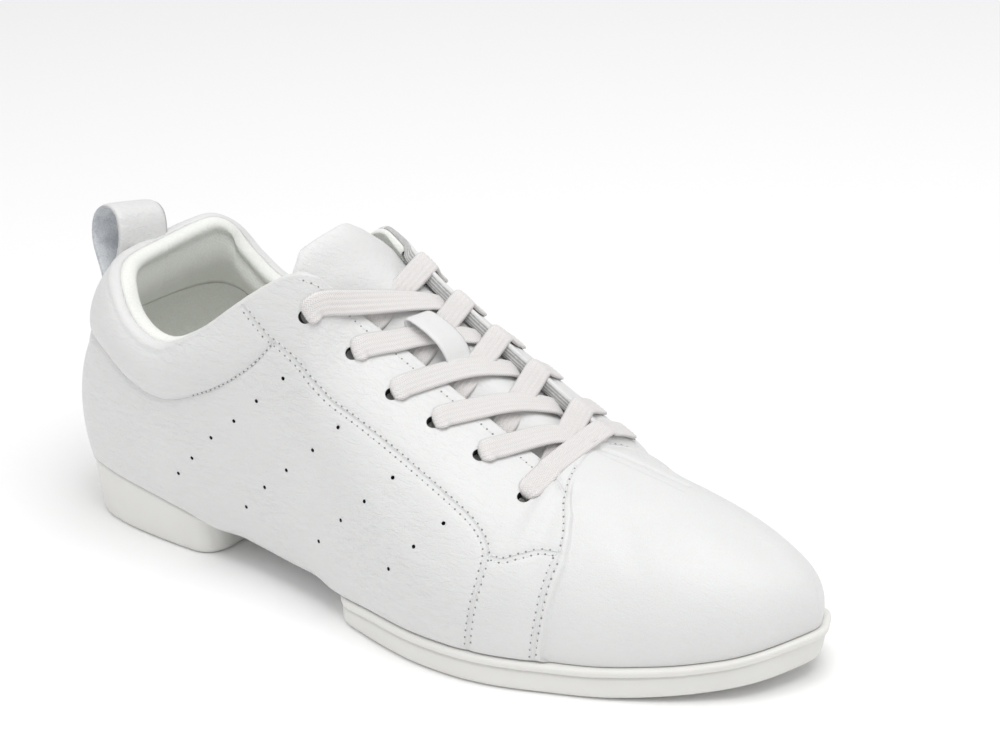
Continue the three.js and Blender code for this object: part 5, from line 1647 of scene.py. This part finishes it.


# %% [markdown]
# ## Punched holes
# The lace eyelets are plain holes cut through facing and lining, and the quarters carry a
# pattern of small breathing holes. Geometry Nodes stand a short punch on each place and a
# Boolean modifier cuts them all at once. The cut walls take the punch's near-black material,
# a painted shade for the inside of each hole.

# %% Punches
PINHOLES = np.array([
    [8.31, .629], [7.48, .571], [6.85, .512], [6.22, .454], [5.61, .348], [5.12, .224],
    [11.43, .552], [10.16, .411], [8.34, .328], [7.51, .256], [6.89, .148],
    [13.01, .516], [12.44, .354], [11.62, .238], [10.16, .125],
    [14.32, .481], [13.74, .319], [13.15, .179],
])
PINHOLE_RADIUS = 0.62
PINHOLE_DEPTH = 1.7


def punch_mesh(name, sides=20):
    """A closed prism along X, one unit long and one across."""
    points, quads = [], []
    for x in (-0.5, 0.5):
        for m in range(sides):
            a = 2 * math.pi * m / sides
            points.append((x, math.cos(a) / 2, math.sin(a) / 2))
    for m in range(sides):
        n = (m + 1) % sides
        quads.append((m, n, n + sides, m + sides))
    quads.append(tuple(reversed(range(sides))))
    quads.append(tuple(m + sides for m in range(sides)))
    mesh = bpy.data.meshes.new(name)
    mesh.from_pydata(points, [], quads)
    return mesh


def punch_rows():
    pins, eyes = [], []
    for side in SIDES:
        t, v = on_side(side, PINHOLES[:, 0]), PINHOLES[:, 1]
        p, n = upper_point(side, t, v), upper_normal(side, t, v)
        out, _ = surface_out(side, p)
        pins.append((p + n * (out - PINHOLE_DEPTH + 2.0)[:, None], n, np.roll(n, 1, -1)))
        cut = 0 if side == "lateral" else 2
        t, v = EYELETS[:, cut], EYELETS[:, cut + 1]
        p, n = upper_point(side, t, v), upper_normal(side, t, v)
        eyes.append((p - n * 1.0, n, np.roll(n, 1, -1)))
    return pins, eyes


def punch_holes(shell, hole_shade, keep):
    pins, eyes = punch_rows()
    short = template("punch_short", punch_mesh("punch_short", 14), keep)
    long = template("punch_long", punch_mesh("punch_long", 24), keep)
    before = len(shell.data.polygons)
    for name, rows, form, length, width in (
            ("pin_punches", pins, short, 4.0, 2 * PINHOLE_RADIUS),
            ("eye_punches", eyes, long, 11.0, 2 * EYELET_RADIUS)):
        cutter = copies_on_points(name, rows, form, hole_shade, length, width, width)
        for face in cutter.data.polygons:
            face.use_smooth = False
        cut = shell.modifiers.new(name, "BOOLEAN")
        cut.operation, cut.solver, cut.object = "DIFFERENCE", "MANIFOLD", cutter
        # the cut walls take the punch's material, a painted shade for the inside of the holes
        cut.material_mode = "TRANSFER"
        bpy.context.view_layer.update()
        graph = bpy.context.evaluated_depsgraph_get()
        made = bpy.data.meshes.new_from_object(shell.evaluated_get(graph))
        shell.modifiers.clear()
        shell.data = made
        bpy.data.objects.remove(cutter)
    print("shell faces before and after the punches:", before, len(shell.data.polygons))

# %% [markdown]
# ## Materials
# Everything is white, so the finishes differ by their fine relief and gloss, and by painted
# shade in a few places: the seam grooves, the valleys of the lace weave, the far facing's cut
# edge and the insides of holes. Each one is a small node tree built by the same helpers: noise
# and waves on Object coordinates for grain, marks stored on the mesh for seams, and bump for
# the relief. White leather has a thin satin coat, rubber is matt and a little warm, the lining
# is a soft textile, and the lace a cotton weave that follows its own length.

# %% Small helpers to build a node tree
class Tree:
    """Builds one material, node by node."""

    def __init__(self, name):
        self.material = bpy.data.materials.new(name)
        self.material.use_nodes = True
        self.nodes = self.material.node_tree.nodes
        self.links = self.material.node_tree.links
        self.shader = self.nodes["Principled BSDF"]

    def put(self, node, value):
        if hasattr(value, "is_output"):
            self.links.new(value, node)
        else:
            node.default_value = value

    def math(self, operation, a, b=0.0, clamp=False):
        node = self.nodes.new("ShaderNodeMath")
        node.operation, node.use_clamp = operation, clamp
        self.put(node.inputs[0], a)
        self.put(node.inputs[1], b)
        return node.outputs[0]

    def place(self, scale=(1, 1, 1), turn=(0, 0, 0)):
        spot = self.nodes.new("ShaderNodeTexCoord")
        mapping = self.nodes.new("ShaderNodeMapping")
        mapping.inputs["Scale"].default_value = scale
        mapping.inputs["Rotation"].default_value = turn
        self.links.new(spot.outputs["Object"], mapping.inputs["Vector"])
        return mapping.outputs[0]

    def noise(self, where, scale, detail=3.0, rough=0.5, warp=0.0):
        node = self.nodes.new("ShaderNodeTexNoise")
        self.links.new(where, node.inputs["Vector"])
        for label, value in (("Scale", scale), ("Detail", detail), ("Roughness", rough),
                             ("Distortion", warp)):
            node.inputs[label].default_value = value
        return node.outputs["Fac"]

    def cells(self, where, scale, feature="DISTANCE_TO_EDGE"):
        node = self.nodes.new("ShaderNodeTexVoronoi")
        node.feature = feature
        self.links.new(where, node.inputs["Vector"])
        node.inputs["Scale"].default_value = scale
        return node.outputs["Distance"]

    def mark(self, name):
        node = self.nodes.new("ShaderNodeAttribute")
        node.attribute_name = name
        return node.outputs["Fac"]

    def span(self, value, low, high, out_low=0.0, out_high=1.0, smooth_step=True):
        node = self.nodes.new("ShaderNodeMapRange")
        node.interpolation_type = "SMOOTHSTEP" if smooth_step else "LINEAR"
        self.links.new(value, node.inputs["Value"])
        for label, number in (("From Min", low), ("From Max", high), ("To Min", out_low),
                              ("To Max", out_high)):
            node.inputs[label].default_value = number
        return node.outputs["Result"]

    def blend(self, share, a, b):
        node = self.nodes.new("ShaderNodeMix")
        node.data_type = "RGBA"
        self.put(node.inputs["Factor"], share)
        for socket, value in ((node.inputs[6], a), (node.inputs[7], b)):
            self.put(socket, value if hasattr(value, "is_output") else (*value, 1))
        return node.outputs[2]

    def bump(self, height, distance, strength=1.0, below=None):
        node = self.nodes.new("ShaderNodeBump")
        self.links.new(height, node.inputs["Height"])
        node.inputs["Distance"].default_value = distance
        node.inputs["Strength"].default_value = strength
        if below is not None:
            self.links.new(below, node.inputs["Normal"])
        return node.outputs["Normal"]

    def finish(self, color, rough, normal=None, **constants):
        put = self.shader.inputs
        self.put(put["Base Color"], color if hasattr(color, "is_output") else (*color, 1))
        self.put(put["Roughness"], rough)
        if normal is not None:
            self.links.new(normal, put["Normal"])
        for label, value in constants.items():
            put[label.replace("_", " ")].default_value = value
        return self.material


# %% White leather of the upper
LEATHER_WHITE = (0.765, 0.766, 0.762)
GRAIN_TURN = (0.0, math.radians(-18), math.radians(0))


def seam_groove(tree, name, half, soft):
    """1 on the seam line, 0 away from it."""
    away = tree.math("ABSOLUTE", tree.mark(name))
    return tree.math("MULTIPLY", tree.span(away, half, half + soft, 1.0, 0.0),
                     tree.mark(name.replace("seam", "beside")))


def make_leather(name, seams=True, base=LEATHER_WHITE, grain=1.0):
    tree = Tree(name)
    where = tree.place()
    stretched = tree.place((0.42, 1.0, 1.25), GRAIN_TURN)
    pores = tree.cells(stretched, 1500)
    pores = tree.span(pores, 0.0, 0.16)
    wrinkles = tree.noise(stretched, 520, 4.0, 0.62, 0.8)
    wrinkles = tree.span(wrinkles, 0.34, 0.62)
    soft = tree.noise(where, 55, 2.0, 0.5)
    # the quarters keep a livelier grain than the stretched vamp
    spot = tree.nodes.new("ShaderNodeSeparateXYZ")
    tree.links.new(where, spot.inputs[0])
    quarter = tree.span(spot.outputs["X"], 0.035, 0.075, 1.0, 0.28)
    patch = tree.span(tree.noise(where, 26, 2.0), 0.35, 0.68, 0.45, 1.0)
    lively = tree.math("MULTIPLY", quarter, patch)
    height = tree.math("MULTIPLY", wrinkles, lively)
    normal = tree.bump(height, 0.00017 * grain, 0.8)
    normal = tree.bump(pores, 0.00004 * grain, 0.6, normal)
    normal = tree.bump(soft, 0.0004, 0.25, normal)
    tone = tree.blend(tree.span(soft, 0.3, 0.7), [c * 0.985 for c in base], base)
    if seams:
        shade = None
        for seam in SEAM_PLAN:
            groove = seam_groove(tree, "seam_" + seam, 0.18, 0.5 if seam != "pad" else 0.35)
            shade = groove if shade is None else tree.math("MAXIMUM", shade, groove)
        dip = tree.math("SUBTRACT", 1.0, shade)
        normal = tree.bump(dip, 0.00018, 0.8, normal)
        # painted shade: the leather is darkened a little along each seam groove, where shade would
        # fall
        tone = tree.blend(tree.math("MULTIPLY", shade, 0.10), tone, (0.55, 0.56, 0.56))
    rough = tree.span(tree.noise(where, 90, 2.0), 0.3, 0.7, 0.40, 0.50)
    return tree.finish(tone, rough, normal, Coat_Weight=0.12, Coat_Roughness=0.32,
                       Specular_IOR_Level=0.42, Subsurface_Weight=0.03,
                       Subsurface_Scale=0.002)


leather = make_leather("leather_white")
plain_leather = make_leather("leather_trim", seams=False, grain=0.8)
waist_leather = make_leather("leather_waist", seams=False, base=(0.78, 0.78, 0.77), grain=0.6)
print("leathers:", leather.name, plain_leather.name, waist_leather.name)


# %% Layered cut edge of the far facing, with painted shade: its dark grey stands for the shade under the edge
def make_shaded_edge(name):
    tree = Tree(name)
    lines = tree.math("SINE", tree.math("MULTIPLY", tree.mark("layer"), 4.6))
    fuzz = tree.noise(tree.place(), 900, 4.0, 0.7)
    tone = tree.math("ADD", tree.math("MULTIPLY", lines, 0.25), fuzz)
    # partly painted shade: the layer stripes are the edge's own, the dark grey stands for the
    # shade under the raised far facing
    shade = tree.blend(tree.span(tone, 0.3, 0.8), (0.42, 0.42, 0.42), (0.70, 0.70, 0.69))
    return tree.finish(shade, 0.85, tree.bump(tone, 0.0002, 0.7), Specular_IOR_Level=0.2)


cut_edge_shade = make_shaded_edge("leather_cut_edge_painted_shade")


# %% Lining textile and inner sock
def make_lining(name, base, thread=2300):
    tree = Tree(name)
    where = tree.place()
    spot = tree.nodes.new("ShaderNodeSeparateXYZ")
    tree.links.new(where, spot.inputs[0])
    waves = []
    for a, b in (("X", "Z"), ("Y", "Z")):
        run = tree.math("ADD", spot.outputs[a], tree.math("MULTIPLY", spot.outputs[b], 0.6))
        wave = tree.math("SINE", tree.math("MULTIPLY", run, thread * 3.1))
        waves.append(tree.math("MULTIPLY", wave, 0.5))
    weave = tree.math("ADD", waves[0], waves[1])
    fuzz = tree.noise(where, 1400, 3.0, 0.7)
    height = tree.math("ADD", tree.math("MULTIPLY", weave, 0.25), fuzz)
    normal = tree.bump(height, 0.00012, 0.7)
    tone = tree.blend(tree.span(fuzz, 0.3, 0.7), [c * 0.93 for c in base], base)
    return tree.finish(tone, 0.9, normal, Sheen_Weight=0.25, Sheen_Roughness=0.5,
                       Specular_IOR_Level=0.2)


lining = make_lining("lining_cloth", (0.885, 0.895, 0.86))
sock = make_lining("sock_cloth", (0.87, 0.89, 0.83), 1500)
print("linings:", lining.name, sock.name)


# %% Matt rubber of both sole pads
def make_rubber(name):
    tree = Tree(name)
    where = tree.place()
    fine = tree.noise(where, 2600, 3.0, 0.6)
    broad = tree.noise(where, 45, 3.0, 0.5)
    normal = tree.bump(fine, 0.00003, 0.6)
    normal = tree.bump(broad, 0.0003, 0.12, normal)
    tone = tree.blend(tree.span(broad, 0.3, 0.7), (0.775, 0.77, 0.74), (0.80, 0.795, 0.77))
    rough = tree.span(fine, 0.3, 0.7, 0.52, 0.64)
    return tree.finish(tone, rough, normal, Specular_IOR_Level=0.35, Subsurface_Weight=0.05,
                       Subsurface_Scale=0.003)


rubber = make_rubber("sole_rubber_white")


# %% Cotton lace, woven along its length
def make_cotton(name):
    tree = Tree(name)
    along, side = tree.mark("lace_u"), tree.mark("lace_v")
    wales = 1.6
    chevron = tree.math("PINGPONG", side, wales / 2)
    twill = tree.math("SUBTRACT", tree.math("MULTIPLY", along, 1.0),
                      tree.math("MULTIPLY", chevron, 0.9))
    yarn = tree.math("SINE", tree.math("MULTIPLY", twill, 2 * math.pi / 0.62))
    ribs = tree.math("COSINE", tree.math("MULTIPLY", side, 2 * math.pi / wales))
    where = tree.place()
    fuzz = tree.noise(where, 2200, 3.0, 0.7)
    height = tree.math("ADD", tree.math("MULTIPLY", yarn, 0.5), fuzz)
    normal = tree.bump(tree.math("ADD", height, tree.math("MULTIPLY", ribs, 0.35)), 0.00016, 0.8)
    # partly painted shade: the yarn valleys are darker, as shade falls in them; the fuzz is the
    # cotton's own uneven tone
    shade = tree.span(tree.math("ADD", yarn, tree.math("MULTIPLY", fuzz, 2.0)), -0.6, 1.6)
    tone = tree.blend(shade, (0.72, 0.695, 0.68), (0.87, 0.845, 0.835))
    return tree.finish(tone, 0.86, normal, Sheen_Weight=0.3, Sheen_Roughness=0.45,
                       Specular_IOR_Level=0.2)


cotton = make_cotton("lace_cotton_flat")


# %% Thread, napped inside of the pull loop, and painted shade for the walls of small holes and for the needle holes
def make_thread(name, base):
    tree = Tree(name)
    fuzz = tree.noise(tree.place(), 6000, 2.0, 0.6)
    tone = tree.blend(fuzz, [c * 0.9 for c in base], base)
    return tree.finish(tone, 0.6, tree.bump(fuzz, 0.00003, 0.5), Sheen_Weight=0.2)


def make_nap(name):
    tree = Tree(name)
    where = tree.place()
    nap = tree.noise(where, 1900, 5.0, 0.75)
    cloud = tree.noise(where, 180, 3.0, 0.6)
    tone = tree.blend(tree.span(tree.math("ADD", nap, cloud), 0.75, 1.25), (0.50, 0.53, 0.57),
                      (0.78, 0.80, 0.82))
    return tree.finish(tone, 0.95, tree.bump(nap, 0.0002, 0.8), Sheen_Weight=0.5,
                       Sheen_Roughness=0.6, Specular_IOR_Level=0.15)


def make_painted_shade(name, deep, high):
    tree = Tree(name)
    speck = tree.noise(tree.place(), 3000, 2.0)
    tone = tree.blend(speck, deep, high)
    return tree.finish(tone, 0.9, tree.bump(speck, 0.00005, 0.4))


thread = make_thread("stitch_thread", (0.80, 0.80, 0.79))
nap = make_nap("loop_nap")
# painted shade: the near-black walls of the punched holes and the grey needle holes stand for the
# shade inside them
hole_shade = make_painted_shade("hole_painted_shade", (0.015, 0.015, 0.016), (0.05, 0.05, 0.05))
needle = make_painted_shade("needle_shade", (0.20, 0.20, 0.20), (0.32, 0.32, 0.32))
print("materials:", len(bpy.data.materials))

# %% [markdown]
# ## Put the pieces on the shoe
# Every piece is built here in turn, rides on the one body and hides the solid of the model
# that it stands for.

# %% Build and attach
def settle(piece, slot, *nodes, fill=None):
    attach(piece, "root")
    if nodes:
        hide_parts(*nodes)
    print(piece.name, "open edges", open_edges(piece), "faces", len(piece.data.polygons))


tools = []
shell = build_shell([leather, lining, hole_shade, cut_edge_shade])
punch_holes(shell, hole_shade, tools)
settle(shell, "leather", "upper")
settle(build_collar_lining([lining]), "lining", fill=0.7)
settle(build_tongue([plain_leather, lining]), "leather", "tongue", fill=0.5)
settle(build_heel_block([rubber]), "sole_rubber", "heel_block")
settle(build_front_pad([rubber]), "sole_rubber", "forefoot_sole")
settle(build_insole([sock]), "lining", "insole")
settle(build_waist_strip([waist_leather]), "waist_cover", "waist_strip")
settle(build_pull_loop([plain_leather, nap]), "leather", "pull_loop")
settle(build_keeper([plain_leather]), "leather", "lace_keeper")
for k, pair in enumerate(build_straps([cotton])):
    for strap in pair:
        settle(strap, "lace_cotton", f"lace_crossing_{k + 1}")
settle(build_lace_bar([cotton]), "lace_cotton", "lace_bar")

# %% Stitches and the painted shade of their needle holes
seam_rows, needle_rows = all_stitches()
grain = template("stitch_grain", grain_mesh("stitch_grain"), tools)
needle_patch = template("needle_dent", grain_mesh("needle_dent", stations=(-1, 0, 1), sink=0.0), tools)
stitches = copies_on_points("stitch_rows", seam_rows, grain, thread, STITCH_LENGTH,
                            STITCH_WIDTH, 0.55, 0.08)
needles = copies_on_points("needle_holes", needle_rows, needle_patch, needle, HOLE_WIDTH, HOLE_WIDTH,
                           0.10, 0.15)
settle(stitches, "leather")
settle(needles, "leather")
for piece in tools:
    bpy.data.objects.remove(piece)

# %% [markdown]
# ## Camera, floor and light
# The camera was solved from the outline of the sole and the toe: its place, its turn and its
# lens put the model over the photograph to about a pixel. The studio is a white floor, a
# bright even sky, a large soft lamp overhead and a weak one from the left.

# %% Camera
CAMERA_PLACE = np.array([722.49005361, -683.86651914, 472.64537546]) + SHIFT
CAMERA_TURN = np.array([[0.7836392, 0.61999535, -0.03892781],
                        [-0.22702979, 0.3441553, 0.91105137],
                        [0.57824482, -0.7050978, 0.410451]])
FOCUS_PIXELS = 3205.985
IMAGE_WIDTH = 1000
lens = bpy.data.cameras.new("camera")
lens.sensor_width = 36
lens.lens = FOCUS_PIXELS * lens.sensor_width / IMAGE_WIDTH
camera = bpy.data.objects.new("camera", lens)
pose = Matrix(CAMERA_TURN.T.tolist()).to_4x4()
pose.translation = Vector((CAMERA_PLACE * MM).tolist())
camera.matrix_world = pose
bpy.context.scene.collection.objects.link(camera)
bpy.context.scene.camera = camera
print("lens", round(lens.lens, 2), "mm")

# %% Floor
FLOOR_HALF = 3.0
sheet = bpy.data.meshes.new("floor")
sheet.from_pydata([(-FLOOR_HALF, -FLOOR_HALF, 0), (FLOOR_HALF, -FLOOR_HALF, 0),
                   (FLOOR_HALF, FLOOR_HALF, 0), (-FLOOR_HALF, FLOOR_HALF, 0)], [],
                  [(0, 1, 2, 3)])
floor = bpy.data.objects.new("floor", sheet)
bpy.context.scene.collection.objects.link(floor)
paper = Tree("floor_paper")
fibre = paper.noise(paper.place(), 400, 3.0)
sheet.materials.append(paper.finish(paper.blend(fibre, (0.97, 0.97, 0.97), (0.98, 0.98, 0.98)),
                                    0.9, paper.bump(fibre, 0.0001, 0.2),
                                    Specular_IOR_Level=0.1))


# %% Lights
def lamp(name, place, size, power, aim=(0.0, 0.0, 0.04)):
    light = bpy.data.lights.new(name, "AREA")
    light.size, light.energy = size, power
    piece = bpy.data.objects.new(name, light)
    piece.location = place
    piece.rotation_euler = (Vector(aim) - Vector(place)).to_track_quat("-Z", "Y").to_euler()
    bpy.context.scene.collection.objects.link(piece)


sky = bpy.data.worlds.new("studio")
sky.use_nodes = True
sky.node_tree.nodes["Background"].inputs[0].default_value = (1, 1, 1, 1)
sky.node_tree.nodes["Background"].inputs[1].default_value = 0.60
bpy.context.scene.world = sky
lamp("overhead", (0.32, -0.05, 1.15), 0.9, 8.3)
lamp("side", (-0.7, -0.5, 0.7), 0.8, 1.2)
bpy.context.scene.view_settings.view_transform = "Standard"
print("sky and two lamps")
